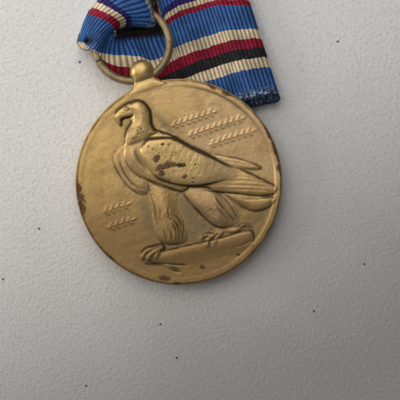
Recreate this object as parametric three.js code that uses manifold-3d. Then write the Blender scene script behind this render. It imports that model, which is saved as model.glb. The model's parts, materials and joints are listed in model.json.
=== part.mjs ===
// A bronze service medal lying face up: a struck disc with a knob, a split ring, and a striped
// ribbon that is folded through the ring and wrapped round the bar of a pin-back brooch.
//
// Units are millimetres and +Z is up. Everything is laid out in the medal's own frame, with the
// disc's centre near X = Y = 0, the knob towards +Y and the ribbon's stripes along X. The last
// lines move the origin to the middle of the footprint, on the surface the medal lies on.

import * as THREE from "three";
import { mergeVertices } from "three/addons/utils/BufferGeometryUtils.js";
import Module from "manifold-3d";

const wasm = await Module();
wasm.setup();

// ---- Driving dimensions ----

// Disc
const DISC_RADIUS = 16;
const DISC_THICKNESS = 2.5;
const RIM_WIDTH = 0.8;
const RIM_SLOPE = 0.5;
const FRONT_FIELD = 2.1;
const BACK_FIELD = 0.3;
const RELIEF_RISE = 0.5;
const DISC_TILT = Math.atan(0.09);
const DISC_SEGMENTS = 96;

// Knob
const KNOB_RADIUS = 1.75;
const KNOB_CENTRE = 18.1;
const KNOB_FLATTENING = 0.75;
const KNOB_HOLE_RADIUS = 0.85;
const KNOB_HOLE_PLACE = 16.98;
const KNOB_SHIFT = -0.2;

// Ring
const RING_RADIUS = 5.75;
const WIRE_RADIUS = 0.6;
const RING_SHIFT = -0.37;
const RING_SLOPE = THREE.MathUtils.degToRad(10.6);
const RING_SPLIT_ANGLE = 189;
const RING_SPLIT_GAP = 0.12;
const FOLD_ANGLE = THREE.MathUtils.degToRad(118);

// Ribbon
const RIBBON_THICKNESS = 0.5;
const RIBBON_WIDTH = 34.9;
const RIBBON_LOW_EDGE = 8.6;
const RIBBON_RIGHT_FOLD = 19.1;
const UPPER_LAYER = 0.95;
const UNDER_LAYER = 0.25;
const RIBBON_SPANS = 8;

// Brooch
const BAR_THICKNESS = 0.6;
const BAR_BOTTOM = 1.95;
const BAR_INNER_EDGE = 14.65;
const BAR_OUTER_EDGE = 18.25;
const BAR_START = 10.4;
const BAR_END = 41.7;
const BLOCK_WIDTH = 2.8;
const HINGE_PLACE = 39;
const HINGE_LENGTH = 3;
const CATCH_PLACE = 13.4;
const CATCH_LENGTH = 2.6;
const PIN_RADIUS = 0.4;
const PIN_HEIGHT = 0.95;
const PIN_TIP = 11.4;
const RIVET_RADIUS = 0.34;
const SLOT_WIDTH = 1;
const STITCH_COUNT = 5;

// Clearances
const SOLDER_GAP = 0.02;
const RUNNING_GAP = 0.05;
const SLIT_GAP = 0.3;

// ---- Helpers ----

const bronze = { color: 0x9a7b48, roughness: 0.38, metalness: 0.9 };
const wire = { color: 0x8a7448, roughness: 0.4, metalness: 0.9 };
const cloth = { color: 0x41699b, roughness: 0.85, metalness: 0 };
const brass = { color: 0xb08d4e, roughness: 0.35, metalness: 0.9 };
const thread = { color: 0x2c3d63, roughness: 0.9, metalness: 0 };

function named(name, geometry, finish) {
  geometry.computeVertexNormals();
  const mesh = new THREE.Mesh(geometry, new THREE.MeshStandardMaterial(finish));
  mesh.name = name;
  return mesh;
}

function solidOf(geometry) {
  const bare = geometry.clone();
  bare.deleteAttribute("normal");
  bare.deleteAttribute("uv");
  const merged = mergeVertices(bare, 1e-4);
  const vertProperties = new Float32Array(merged.attributes.position.array);
  const triVerts = new Uint32Array(merged.index.array);
  return new wasm.Manifold(new wasm.Mesh({ numProp: 3, vertProperties, triVerts }));
}

function geometryOf(solid) {
  const mesh = solid.getMesh();
  const geometry = new THREE.BufferGeometry();
  geometry.setAttribute("position", new THREE.Float32BufferAttribute(mesh.vertProperties, 3));
  geometry.setIndex(Array.from(mesh.triVerts));
  return geometry;
}

function boxBetween(low, high) {
  const size = high.map((value, axis) => value - low[axis]);
  const centre = high.map((value, axis) => (value + low[axis]) / 2);
  return new THREE.BoxGeometry(...size).translate(...centre);
}

function rodAlongX(radius, length, y, z, segments = 32) {
  return new THREE.CylinderGeometry(radius, radius, length, segments).rotateZ(Math.PI / 2).translate(0, y, z);
}

// ---- Disc: rim, sunk fields and the raised eagle ----

function eagleShape() {
  const shape = new THREE.Shape();
  const outline = [
    [-5.9, 11.2], [-6.2, 12.6], [-4.8, 13.8], [-2.8, 14.0], [-1.0, 12.4], [-1.1, 9.2],
    [1.9, 6.4], [5, 3.4], [7.3, 2], [12.6, -1.7], [10.5, -1.8], [13.9, -5],
    [13.3, -6.1], [10.5, -5.7], [13.2, -6.9], [12.4, -7.8], [10, -7.8], [7.2, -5],
    [7.2, -8.8], [8.5, -10], [8.5, -12], [3, -11.8], [-4, -13.9], [-8.7, -10.4],
    [-5.7, -8.6], [-5.2, -2.5], [-5.3, -0.3], [-7.9, 3], [-8.3, 6.2], [-6.1, 8.2],
  ];
  shape.setFromPoints(outline.map(([x, y]) => new THREE.Vector2(x, y)));
  return shape;
}

function discSolid() {
  const slope = DISC_RADIUS - RIM_WIDTH - RIM_SLOPE;
  const edgeBevel = 0.2;
  const profile = [
    [0, BACK_FIELD],
    [slope, BACK_FIELD],
    [DISC_RADIUS - RIM_WIDTH, 0],
    [DISC_RADIUS - edgeBevel, 0],
    [DISC_RADIUS, edgeBevel],
    [DISC_RADIUS, DISC_THICKNESS - edgeBevel],
    [DISC_RADIUS - edgeBevel, DISC_THICKNESS],
    [DISC_RADIUS - RIM_WIDTH, DISC_THICKNESS],
    [slope, FRONT_FIELD],
    [0, FRONT_FIELD],
  ].map(([radius, height]) => new THREE.Vector2(radius, height));
  const blank = new THREE.LatheGeometry(profile, DISC_SEGMENTS).rotateX(Math.PI / 2);
  const embed = 0.4;
  const relief = new THREE.ExtrudeGeometry(eagleShape(), {
    depth: RELIEF_RISE + embed,
    bevelEnabled: false,
  }).translate(0, 0, FRONT_FIELD - embed);
  return solidOf(blank).add(solidOf(relief));
}

// ---- Knob: a flattened ball on a flared neck, with a cross hole for the ring ----

function knobSolid() {
  const neck = [[0, 15.2], [2.3, 15.2], [2.25, 15.9], [1.85, 16.5], [KNOB_RADIUS, 17.1]];
  const ballSteps = 8;
  const ball = Array.from({ length: ballSteps + 1 }, (_, step) => {
    const angle = (step / ballSteps) * (Math.PI / 2);
    return [KNOB_RADIUS * Math.cos(angle), KNOB_CENTRE + KNOB_RADIUS * Math.sin(angle)];
  });
  const profile = [...neck, ...ball].map(([radius, y]) => new THREE.Vector2(radius, y));
  const turned = new THREE.LatheGeometry(profile, 28)
    .scale(1, 1, KNOB_FLATTENING)
    .translate(KNOB_SHIFT, 0, DISC_THICKNESS / 2);
  const discClearance = new THREE.CylinderGeometry(
    DISC_RADIUS + SOLDER_GAP, DISC_RADIUS + SOLDER_GAP, 3 * DISC_THICKNESS, DISC_SEGMENTS,
  ).rotateX(Math.PI / 2);
  const hole = rodAlongX(KNOB_HOLE_RADIUS, 4 * KNOB_RADIUS, KNOB_HOLE_PLACE, DISC_THICKNESS / 2, 24);
  return solidOf(turned).subtract(solidOf(discClearance)).subtract(solidOf(hole));
}

// ---- Ring: round wire bent to a circle, its two ends butted with a hairline gap ----

function ringGeometry() {
  const gapAngle = RING_SPLIT_GAP / RING_RADIUS;
  const start = THREE.MathUtils.degToRad(RING_SPLIT_ANGLE) + gapAngle / 2;
  const sweep = 2 * Math.PI - gapAngle;
  class RingCurve extends THREE.Curve {
    getPoint(t, target = new THREE.Vector3()) {
      const angle = start + t * sweep;
      return target.set(RING_RADIUS * Math.cos(angle), RING_RADIUS * Math.sin(angle), 0);
    }
  }
  const section = new THREE.Shape().absarc(0, 0, WIRE_RADIUS, 0, 2 * Math.PI);
  return new THREE.ExtrudeGeometry(section, {
    steps: 64, curveSegments: 6, extrudePath: new RingCurve(), bevelEnabled: false,
  });
}

// ---- Ribbon: one band lofted round a closed loop ----

// The band goes from the fold round the bar, along the upper layer, up through the ring, over its
// wire, down round the left fold and back along the under layer. Each station is a line across
// the band: its low and high ends in plan, its height and its thickness.
function ribbonStations(ringCentre) {
  const highEdge = RIBBON_LOW_EDGE + RIBBON_WIDTH;
  const across = (x, z) => ({ low: [x, RIBBON_LOW_EDGE], high: [x, highEdge], z, thick: RIBBON_THICKNESS });
  const out = new THREE.Vector2(Math.cos(FOLD_ANGLE), Math.sin(FOLD_ANGLE));
  const along = new THREE.Vector2(out.y, -out.x);
  const gathered = (distance, half, z, thick) => {
    const place = (w) => [
      ringCentre.x + distance * out.x + w * along.x,
      ringCentre.y + distance * out.y + w * along.y,
    ];
    return { low: place(-half), high: place(half), z, thick };
  };

  const topOfBar = BAR_BOTTOM + BAR_THICKNESS + RUNNING_GAP + RIBBON_THICKNESS / 2;
  const underBar = BAR_BOTTOM - RUNNING_GAP - RIBBON_THICKNESS / 2;
  const foldRadius = (topOfBar - underBar) / 2;
  const foldCentre = RIBBON_RIGHT_FOLD - RIBBON_THICKNESS / 2 - foldRadius;
  const rightFold = [-90, -45, 0, 45, 90].map((degrees) => {
    const angle = THREE.MathUtils.degToRad(degrees);
    return across(foldCentre + foldRadius * Math.cos(angle), underBar + foldRadius * (1 + Math.sin(angle)));
  });

  const upper = [
    across(14.3, topOfBar),
    across(13.5, 1.8),
    across(12, UPPER_LAYER),
    across(6.5, UPPER_LAYER),
    { low: [1.5, 13], high: [4.6, 36], z: UPPER_LAYER, thick: 0.55 },
    { low: [-2.6, 18.2], high: [3.4, 30], z: 1, thick: 0.65 },
  ];
  const overTheWire = [
    gathered(1.85, 3.5, 1.7, 1),
    gathered(2.35, 3.5, 3, 1),
    gathered(2.9, 3.5, 4.6, 1.1),
    gathered(4.3, 3.5, 5.15, 1.1),
    gathered(6.3, 3.7, 4.8, 1.1),
    gathered(7.8, 4.2, 3.7, 1.2),
    gathered(8.5, 4.5, 2.2, 1.2),
    gathered(8.0, 4.5, 0.95, 1.1),
    gathered(6.8, 4.4, 0.45, 0.8),
  ];
  const under = [
    { low: [-5.2, 22.2], high: [3.2, 33.5], z: 0.3, thick: 0.55 },
    { low: [-2.4, 17.8], high: [4.8, 37], z: UNDER_LAYER, thick: RIBBON_THICKNESS },
    { low: [1.5, 13], high: [5.6, 40.5], z: UNDER_LAYER, thick: RIBBON_THICKNESS },
    across(6.5, UNDER_LAYER),
    across(12, UNDER_LAYER),
    across(13.5, 1),
    across(14.3, underBar),
  ];
  return [...rightFold, ...upper, ...overTheWire, ...under];
}

function ribbonSolid(ringCentre) {
  const stations = ribbonStations(ringCentre);
  const middle = stations.map(({ low, high, z }) => (
    new THREE.Vector3((low[0] + high[0]) / 2, (low[1] + high[1]) / 2, z)
  ));
  const positions = [];
  stations.forEach((station, index) => {
    const before = middle[(index + stations.length - 1) % stations.length];
    const after = middle[(index + 1) % stations.length];
    const low = new THREE.Vector3(...station.low, station.z);
    const high = new THREE.Vector3(...station.high, station.z);
    const travel = after.clone().sub(before);
    const normal = new THREE.Vector3().crossVectors(high.clone().sub(low), travel).normalize();
    for (const side of [1, -1]) {
      for (let span = 0; span <= RIBBON_SPANS; span += 1) {
        const point = low.clone().lerp(high, span / RIBBON_SPANS);
        point.addScaledVector(normal, side * station.thick / 2);
        positions.push(point.x, point.y, point.z);
      }
    }
  });
  const perSide = RIBBON_SPANS + 1;
  const perStation = 2 * perSide;
  const rail = [];
  for (let span = 0; span < perSide; span += 1) rail.push(span);
  for (let span = perSide - 1; span >= 0; span -= 1) rail.push(perSide + span);
  const indices = [];
  stations.forEach((_, index) => {
    const here = index * perStation;
    const next = ((index + 1) % stations.length) * perStation;
    rail.forEach((corner, place) => {
      const turn = rail[(place + 1) % rail.length];
      indices.push(here + corner, here + turn, next + turn, here + corner, next + turn, next + corner);
    });
  });
  const band = new THREE.BufferGeometry();
  band.setAttribute("position", new THREE.Float32BufferAttribute(positions, 3));
  band.setIndex(indices);
  const slitBottom = BAR_BOTTOM - RIBBON_THICKNESS - 3 * SLIT_GAP;
  const slits = [[HINGE_PLACE, HINGE_LENGTH], [CATCH_PLACE, CATCH_LENGTH]].map(([place, length]) => {
    const halfWidth = BLOCK_WIDTH / 2 + SLIT_GAP;
    const halfLength = length / 2 + SLIT_GAP;
    return boxBetween(
      [barMiddle - halfWidth, place - halfLength, slitBottom],
      [barMiddle + halfWidth, place + halfLength, BAR_BOTTOM + BAR_THICKNESS / 2],
    );
  });
  return slits.reduce((solid, slit) => solid.subtract(solidOf(slit)), solidOf(band));
}

// ---- Brooch: bar, hinge block, rivet, pin, catch block and rotating lock ----

const barMiddle = (BAR_INNER_EDGE + BAR_OUTER_EDGE) / 2;
const blockTop = BAR_BOTTOM - SOLDER_GAP;

function barGeometry() {
  const halfWidth = (BAR_OUTER_EDGE - BAR_INNER_EDGE) / 2;
  const halfLength = (BAR_END - BAR_START) / 2;
  const corner = 0.8;
  const shape = new THREE.Shape();
  shape.moveTo(-halfWidth + corner, -halfLength);
  shape.lineTo(halfWidth - corner, -halfLength);
  shape.absarc(halfWidth - corner, -halfLength + corner, corner, -Math.PI / 2, 0);
  shape.absarc(halfWidth - corner, halfLength - corner, corner, 0, Math.PI / 2);
  shape.absarc(-halfWidth + corner, halfLength - corner, corner, Math.PI / 2, Math.PI);
  shape.absarc(-halfWidth + corner, -halfLength + corner, corner, Math.PI, 1.5 * Math.PI);
  return new THREE.ExtrudeGeometry(shape, { depth: BAR_THICKNESS, bevelEnabled: false, curveSegments: 4 })
    .translate(barMiddle, (BAR_START + BAR_END) / 2, BAR_BOTTOM);
}

function blockBox(place, length) {
  return boxBetween(
    [barMiddle - BLOCK_WIDTH / 2, place - length / 2, 0],
    [barMiddle + BLOCK_WIDTH / 2, place + length / 2, blockTop],
  );
}

function slotBox(place, length, top) {
  return boxBetween(
    [barMiddle - SLOT_WIDTH / 2, place - length, -1],
    [barMiddle + SLOT_WIDTH / 2, place + length, top],
  );
}

function hingeBlockSolid() {
  const bore = rodAlongX(RIVET_RADIUS + RUNNING_GAP, 2 * BLOCK_WIDTH, HINGE_PLACE, PIN_HEIGHT, 20)
    .translate(barMiddle, 0, 0);
  return solidOf(blockBox(HINGE_PLACE, HINGE_LENGTH))
    .subtract(solidOf(slotBox(HINGE_PLACE, HINGE_LENGTH, 1.75)))
    .subtract(solidOf(bore));
}

function rivetGeometry() {
  const headRadius = 0.6;
  const headThickness = 0.22;
  const inside = BLOCK_WIDTH / 2 + RUNNING_GAP;
  const profile = [
    [0, -inside - headThickness], [headRadius, -inside - headThickness], [headRadius, -inside],
    [RIVET_RADIUS, -inside], [RIVET_RADIUS, inside], [headRadius, inside],
    [headRadius, inside + headThickness], [0, inside + headThickness],
  ].map(([radius, height]) => new THREE.Vector2(radius, height));
  return new THREE.LatheGeometry(profile, 20).rotateZ(Math.PI / 2).translate(barMiddle, HINGE_PLACE, PIN_HEIGHT);
}

function pinSolid() {
  const eyeRadius = 0.75;
  const eyeThickness = 0.7;
  const taper = 3.5;
  const pointRadius = 0.06;
  const shankStart = HINGE_PLACE - RIVET_RADIUS - RUNNING_GAP - 0.15;
  const length = shankStart - PIN_TIP;
  const profile = [[0, 0], [PIN_RADIUS, 0], [PIN_RADIUS, length - taper], [pointRadius, length], [0, length]]
    .map(([radius, height]) => new THREE.Vector2(radius, height));
  const shank = new THREE.LatheGeometry(profile, 14).rotateZ(Math.PI).translate(barMiddle, shankStart, PIN_HEIGHT);
  const eye = rodAlongX(eyeRadius, eyeThickness, HINGE_PLACE, PIN_HEIGHT, 24).translate(barMiddle, 0, 0);
  const bore = rodAlongX(RIVET_RADIUS + RUNNING_GAP, 2, HINGE_PLACE, PIN_HEIGHT, 20).translate(barMiddle, 0, 0);
  return solidOf(shank).add(solidOf(eye)).subtract(solidOf(bore));
}

const LOCK_INNER = 0.52;
const LOCK_OUTER = 0.74;
const LOCK_LENGTH = 0.8;

function catchBlockSolid() {
  const pocketHalf = LOCK_LENGTH / 2 + RUNNING_GAP;
  const pocketTop = PIN_HEIGHT + LOCK_OUTER + RUNNING_GAP;
  const pocket = boxBetween(
    [barMiddle - BLOCK_WIDTH, CATCH_PLACE - pocketHalf, -1],
    [barMiddle + BLOCK_WIDTH, CATCH_PLACE + pocketHalf, pocketTop],
  );
  return solidOf(blockBox(CATCH_PLACE, CATCH_LENGTH))
    .subtract(solidOf(slotBox(CATCH_PLACE, CATCH_LENGTH, PIN_HEIGHT + SLOT_WIDTH / 2)))
    .subtract(solidOf(pocket));
}

// The lock is a C-shaped sleeve round the pin with a thumb tab; at rest its mouth faces down.
function lockSolid() {
  const mouth = THREE.MathUtils.degToRad(100);
  const start = -Math.PI / 2 + mouth / 2;
  const end = 1.5 * Math.PI - mouth / 2;
  const shape = new THREE.Shape();
  shape.absarc(0, 0, LOCK_OUTER, start, end);
  shape.absarc(0, 0, LOCK_INNER, end, start, true);
  const sleeve = new THREE.ExtrudeGeometry(shape, { depth: LOCK_LENGTH, bevelEnabled: false, curveSegments: 20 });
  const tab = boxBetween([LOCK_INNER + 0.08, -0.16, 0.1], [2.1, 0.16, LOCK_LENGTH - 0.1]);
  return solidOf(sleeve).add(solidOf(tab));
}

// ---- Assembly ----

const medalInPlace = new THREE.Matrix4()
  .makeTranslation(0, -DISC_RADIUS, 0)
  .multiply(new THREE.Matrix4().makeRotationX(DISC_TILT))
  .multiply(new THREE.Matrix4().makeTranslation(0, DISC_RADIUS, 0));
const hole = new THREE.Vector3(RING_SHIFT, KNOB_HOLE_PLACE, DISC_THICKNESS / 2).applyMatrix4(medalInPlace);
const wireSag = 0.13;
const ringCentre = new THREE.Vector3(
  RING_SHIFT,
  hole.y - wireSag + RING_RADIUS * Math.cos(RING_SLOPE),
  hole.z - RING_RADIUS * Math.sin(RING_SLOPE),
);

const medal = new THREE.Group();
medal.applyMatrix4(medalInPlace);
medal.add(named("medal_disc", geometryOf(discSolid()), bronze));
medal.add(named("suspension_knob", geometryOf(knobSolid()), bronze));

const ring = new THREE.Group();
ring.position.copy(ringCentre);
ring.rotation.x = -RING_SLOPE;
ring.add(named("suspension_ring", ringGeometry(), wire));

const brooch = new THREE.Group();
brooch.add(named("ribbon", geometryOf(ribbonSolid(ringCentre)), cloth));
brooch.add(named("brooch_bar", barGeometry(), brass));
brooch.add(named("hinge_block", geometryOf(hingeBlockSolid()), brass));
brooch.add(named("hinge_rivet", rivetGeometry(), brass));
brooch.add(named("brooch_pin", geometryOf(pinSolid()), brass));
brooch.add(named("catch_block", geometryOf(catchBlockSolid()), brass));

const lock = named("catch_lock", geometryOf(lockSolid()), brass);
lock.rotation.x = Math.PI / 2;
lock.position.set(barMiddle, CATCH_PLACE + LOCK_LENGTH / 2, PIN_HEIGHT);
brooch.add(lock);

const stitchRadius = 0.14;
const stitchLength = 2.2;
const stitchPitch = 4.6;
const stitchColumn = BAR_INNER_EDGE + 0.35;
const stitchHeight = BAR_BOTTOM - RUNNING_GAP - RIBBON_THICKNESS - SOLDER_GAP - stitchRadius;
for (let number = 0; number < STITCH_COUNT; number += 1) {
  const stitch = new THREE.CapsuleGeometry(stitchRadius, stitchLength, 3, 8);
  const place = (BAR_START + BAR_END) / 2 + (number - (STITCH_COUNT - 1) / 2) * stitchPitch;
  const mesh = named(`stitch_${number + 1}`, stitch, thread);
  mesh.position.set(stitchColumn, place, stitchHeight);
  brooch.add(mesh);
}

const group = new THREE.Group();
group.add(medal, ring, brooch);
const bounds = new THREE.Box3().setFromObject(group);
const middle = bounds.getCenter(new THREE.Vector3());
group.position.set(-middle.x, -middle.y, -bounds.min.z);

export default group;
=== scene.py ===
"""A bronze service medal on its striped ribbon, lying face up on a pale surface.

The relief of the disc is worked out as a height field in millimetres, in the disc's own frame:
the disc's centre at X = Y = 0, the knob towards +Y. The ribbon is one ribbed sheet that follows
a net of points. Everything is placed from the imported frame: its boxes and joint positions.
"""

import json
import math

import bpy
import numpy as np
from mathutils import Matrix, Vector


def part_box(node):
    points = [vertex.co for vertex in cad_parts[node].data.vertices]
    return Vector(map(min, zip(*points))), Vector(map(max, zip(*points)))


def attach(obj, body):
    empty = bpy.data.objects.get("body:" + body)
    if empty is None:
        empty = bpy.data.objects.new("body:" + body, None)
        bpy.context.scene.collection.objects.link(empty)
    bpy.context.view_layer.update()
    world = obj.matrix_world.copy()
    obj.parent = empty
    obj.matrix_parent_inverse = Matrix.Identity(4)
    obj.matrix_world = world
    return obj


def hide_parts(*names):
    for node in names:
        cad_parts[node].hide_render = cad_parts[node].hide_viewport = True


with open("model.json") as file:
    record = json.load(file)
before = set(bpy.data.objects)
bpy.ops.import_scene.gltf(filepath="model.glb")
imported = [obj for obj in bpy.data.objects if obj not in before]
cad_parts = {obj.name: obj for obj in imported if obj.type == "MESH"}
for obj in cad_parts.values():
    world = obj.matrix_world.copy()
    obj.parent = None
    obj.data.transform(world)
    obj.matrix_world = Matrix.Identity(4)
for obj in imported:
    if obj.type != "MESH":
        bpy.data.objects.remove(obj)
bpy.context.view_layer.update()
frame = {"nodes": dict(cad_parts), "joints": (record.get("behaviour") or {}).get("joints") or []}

# ---- Dimensions, in millimetres ----

MM = 0.001
DISC_RADIUS = 16.0
DISC_THICKNESS = 2.5
DISC_TILT = math.atan(0.09)
FRONT_FIELD = 2.1
BACK_FIELD = 0.3
HOLE_PLACE = Vector((-0.37, 16.98, DISC_THICKNESS / 2))
KNOB_HOLE_RADIUS = 0.85
RING_RADIUS = 5.75
WIRE_RADIUS = 0.6
RING_SLOPE = math.radians(10.6)
RING_SPLIT_ANGLE = 189.0

# What the disc's tilt takes off the knob hole's distance from its centre, seen from above.
TILT_SHORTENING = 0.24

# ---- Places, from the frame ----

joints = {joint["name"]: joint for joint in frame["joints"]}
hole_world = Vector(joints["medal_swing"]["pos_m"])
tilt = Matrix.Rotation(DISC_TILT, 4, "X")
scale_down = Matrix.Scale(MM, 4)
MEDAL = Matrix.Translation(hole_world) @ tilt @ scale_down @ Matrix.Translation(-HOLE_PLACE)

ring_low, ring_high = (Vector(corner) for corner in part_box("suspension_ring"))
RING = Matrix.Translation((ring_low + ring_high) / 2) @ Matrix.Rotation(-RING_SLOPE, 4, "X") @ scale_down

# The flat frame has the same X and Y as the disc's frame, but isn't tilted: the table is Z = 0.
disc_low, disc_high = (Vector(corner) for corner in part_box("medal_disc"))
FLAT = Matrix.Translation((
    (disc_low.x + disc_high.x) / 2,
    hole_world.y - (HOLE_PLACE.y - TILT_SHORTENING) * MM,
    0,
)) @ scale_down


# ---- Small tools ----

def add_mesh(name, vertices, faces, place):
    """A mesh object from points in millimetres, moved into the frame by the matrix place."""
    points = np.asarray(vertices, dtype=float)
    turned = points @ np.array(place.to_3x3()).T + np.array(place.translation)
    mesh = bpy.data.meshes.new(name)
    mesh.from_pydata(turned.tolist(), [], faces)
    mesh.validate()
    mesh.polygons.foreach_set("use_smooth", [True] * len(mesh.polygons))
    piece = bpy.data.objects.new(name, mesh)
    bpy.context.scene.collection.objects.link(piece)
    return piece


def paint(piece, name, values):
    """Stores one colour per vertex, for the materials to read."""
    layer = piece.data.color_attributes.new(name, "FLOAT_COLOR", "POINT")
    colours = np.ones((len(piece.data.vertices), 4))
    colours[:, :values.shape[1]] = values
    layer.data.foreach_set("color", colours.ravel())


def tube_faces(rows, columns):
    """Quads between successive rings of points; each ring has the given number of columns."""
    faces = []
    for row in range(rows - 1):
        here = row * columns
        there = here + columns
        for column in range(columns):
            beside = (column + 1) % columns
            faces.append((here + column, here + beside, there + beside, there + column))
    return faces


def smoothstep(low, high, value):
    """0 below low, 1 above high and a smooth rise between; low may be the greater one."""
    t = np.clip((value - low) / (high - low), 0, 1)
    return t * t * (3 - 2 * t)


def curve_through(points, closed=False, per_span=6):
    """A Catmull-Rom curve through the points."""
    control = np.asarray(points, dtype=float)
    if closed:
        padded = np.vstack([control[-1:], control, control[:2]])
    else:
        padded = np.vstack([2 * control[0] - control[1], control, 2 * control[-1] - control[-2]])
    steps = np.linspace(0, 1, per_span, endpoint=False)[:, None]
    spans = []
    for a, b, c, d in zip(padded, padded[1:], padded[2:], padded[3:]):
        spans.append(0.5 * (2 * b + (c - a) * steps + (2 * a - 5 * b + 4 * c - d) * steps ** 2
                            + (3 * b - a - 3 * c + d) * steps ** 3))
    if not closed:
        spans.append(control[-1:])
    return np.vstack(spans)


# ---- The raster that the relief is worked out on ----

CELL = 0.06
HALF_CELLS = int((DISC_RADIUS + 0.5) / CELL)
axis_cells = np.arange(-HALF_CELLS, HALF_CELLS + 1) * CELL
GX, GY = np.meshgrid(axis_cells, axis_cells)
GR = np.hypot(GX, GY)
NOISE_CELLS = 256
NOISE_ORIGIN = 100


def window(points, margin):
    """The slice of the raster that holds the points, with a margin round them."""
    low = np.floor((points.min(axis=0) - margin) / CELL).astype(int) + HALF_CELLS
    high = np.ceil((points.max(axis=0) + margin) / CELL).astype(int) + HALF_CELLS + 1
    low = np.clip(low, 0, None)
    return slice(low[1], high[1]), slice(low[0], high[0])


def distance_to(path, x, y):
    """Distance to a polyline, with how far along it, from 0 to 1, the nearest point is."""
    best = np.full(x.shape, np.inf)
    along = np.zeros(x.shape)
    spans = len(path) - 1
    for index in range(spans):
        (ax, ay), (bx, by) = path[index], path[index + 1]
        dx, dy = bx - ax, by - ay
        square = dx * dx + dy * dy + 1e-12
        t = np.clip(((x - ax) * dx + (y - ay) * dy) / square, 0, 1)
        gap = np.hypot(x - ax - t * dx, y - ay - t * dy)
        nearer = gap < best
        best = np.where(nearer, gap, best)
        along = np.where(nearer, (index + t) / spans, along)
    return best, along


def inside(path, x, y):
    """True where a point lies within the closed polyline."""
    within = np.zeros(x.shape, dtype=bool)
    for (ax, ay), (bx, by) in zip(path, path[1:]):
        if ay == by:
            continue
        crosses = (ay > y) != (by > y)
        within ^= crosses & (x < (bx - ax) * (y - ay) / (by - ay) + ax)
    return within


def dome(depth, width):
    """Rises steeply from 0 at the outline and levels off at 1, width further in."""
    t = np.clip(depth / width, 0, 1)
    return np.sqrt(np.clip(1 - (1 - t) ** 2, 0, 1))


def noise(x, y, cell, seed):
    """Smooth random values from -1 to 1 that change over one cell."""
    lattice = np.random.default_rng(seed).uniform(-1, 1, (NOISE_CELLS, NOISE_CELLS))
    u, v = x / cell + NOISE_ORIGIN, y / cell + NOISE_ORIGIN
    i, j = np.floor(u).astype(int), np.floor(v).astype(int)
    s, t = u - i, v - j
    s, t = s * s * (3 - 2 * s), t * t * (3 - 2 * t)
    i, j = i % (NOISE_CELLS - 1), j % (NOISE_CELLS - 1)
    low = lattice[j, i] * (1 - s) + lattice[j, i + 1] * s
    high = lattice[j + 1, i] * (1 - s) + lattice[j + 1, i + 1] * s
    return low * (1 - t) + high * t


def blur(raster, radius):
    """A Gaussian blur of the given radius in millimetres."""
    reach = int(3 * radius / CELL)
    weights = np.exp(-0.5 * (np.arange(-reach, reach + 1) * CELL / radius) ** 2)
    weights /= weights.sum()
    shifts = range(-reach, reach + 1)
    for axis in (0, 1):
        raster = sum(weight * np.roll(raster, shift, axis) for weight, shift in zip(weights, shifts))
    return raster


class Relief:
    """A height field in millimetres above the disc's field, built up from simple forms."""

    def __init__(self):
        self.height = np.zeros(GX.shape)

    def form(self, points, rise, width, base=0.05, shape=None):
        """A raised form with a rounded edge. shape may bend its height: it gets x, y and depth."""
        outline = curve_through(points, closed=True, per_span=5)
        outline = np.vstack([outline, outline[:1]])
        area = window(outline, 0.1)
        x, y = GX[area], GY[area]
        depth, _ = distance_to(outline, x, y)
        height = base + rise * dome(depth, width)
        if shape is not None:
            height = shape(x, y, depth, height)
        within = inside(outline, x, y)
        self.height[area] = np.where(within, np.maximum(self.height[area], height), self.height[area])

    def stroke(self, points, width, rise, taper=True):
        """A ridge, or with a negative rise a groove, along a curve."""
        path = curve_through(points)
        area = window(path, 3 * width)
        gap, along = distance_to(path, GX[area], GY[area])
        strength = np.sin(np.pi * np.clip(along, 0.02, 0.98)) ** 0.6 if taper else 1.0
        self.height[area] += rise * strength * np.exp(-(gap / width) ** 2)

    def bead(self, x, y, radius, rise):
        """A round boss."""
        area = window(np.array([[x, y]]), radius)
        gap = np.hypot(GX[area] - x, GY[area] - y)
        self.height[area] += rise * np.sqrt(np.clip(1 - (gap / radius) ** 2, 0, 1))


# ---- The eagle's side of the disc ----

FAR_WING = [(-6.0, 7.6), (-7.0, 7.0), (-7.5, 5.6), (-7.5, 4.0), (-7.1, 2.2), (-6.3, 0.8), (-5.3, -0.1),
            (-4.4, 1.5), (-4.4, 6.5)]
FAR_WING_EDGE = [(-6.3, 8.0), (-8.0, 7.2), (-8.5, 6.0), (-8.4, 4.4), (-7.9, 2.2), (-6.8, 0.8), (-5.6, 0.2),
                 (-4.8, 1.5), (-5.0, 6.5)]
FAR_WING_TIP = [(6.2, 2.5), (7.6, 1.9), (10, 0.5), (12, -0.8), (12.9, -1.75), (11.4, -1.4), (9.5, -0.6),
                (7.3, 0.9)]
BODY = [(-5.9, 8.6), (-6.5, 7.4), (-6.85, 6.0), (-6.65, 4.7), (-5.6, 3.0), (-4.0, 1.6), (-2.0, 0.0),
        (0.1, -1.4), (1.8, -0.6), (3.0, 2.0), (2.6, 5.2), (0.9, 7.2), (-1.0, 8.7), (-3.5, 9.2)]
NECK = [(-1.25, 13.1), (-0.95, 12.0), (-1.05, 11.0), (-1.3, 10.0), (-1.15, 9.0), (-0.9, 8.4), (-3.0, 7.6),
        (-5.6, 7.6), (-6.05, 8.6), (-5.7, 9.6), (-4.9, 10.5), (-4.1, 11.2), (-3.7, 12.2), (-4.0, 13.6),
        (-2.8, 14.05), (-1.9, 13.85)]
BEAK = [(-3.4, 12.1), (-5.2, 12.05), (-5.6, 11.75), (-5.85, 11.1), (-6.15, 11.9), (-6.25, 12.8), (-5.8, 13.4),
        (-4.9, 13.75), (-3.4, 14.0)]
JAW = [(-3.2, 12.0), (-4.0, 11.95), (-4.15, 11.6), (-3.9, 11.2), (-3.2, 11.0)]
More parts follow.
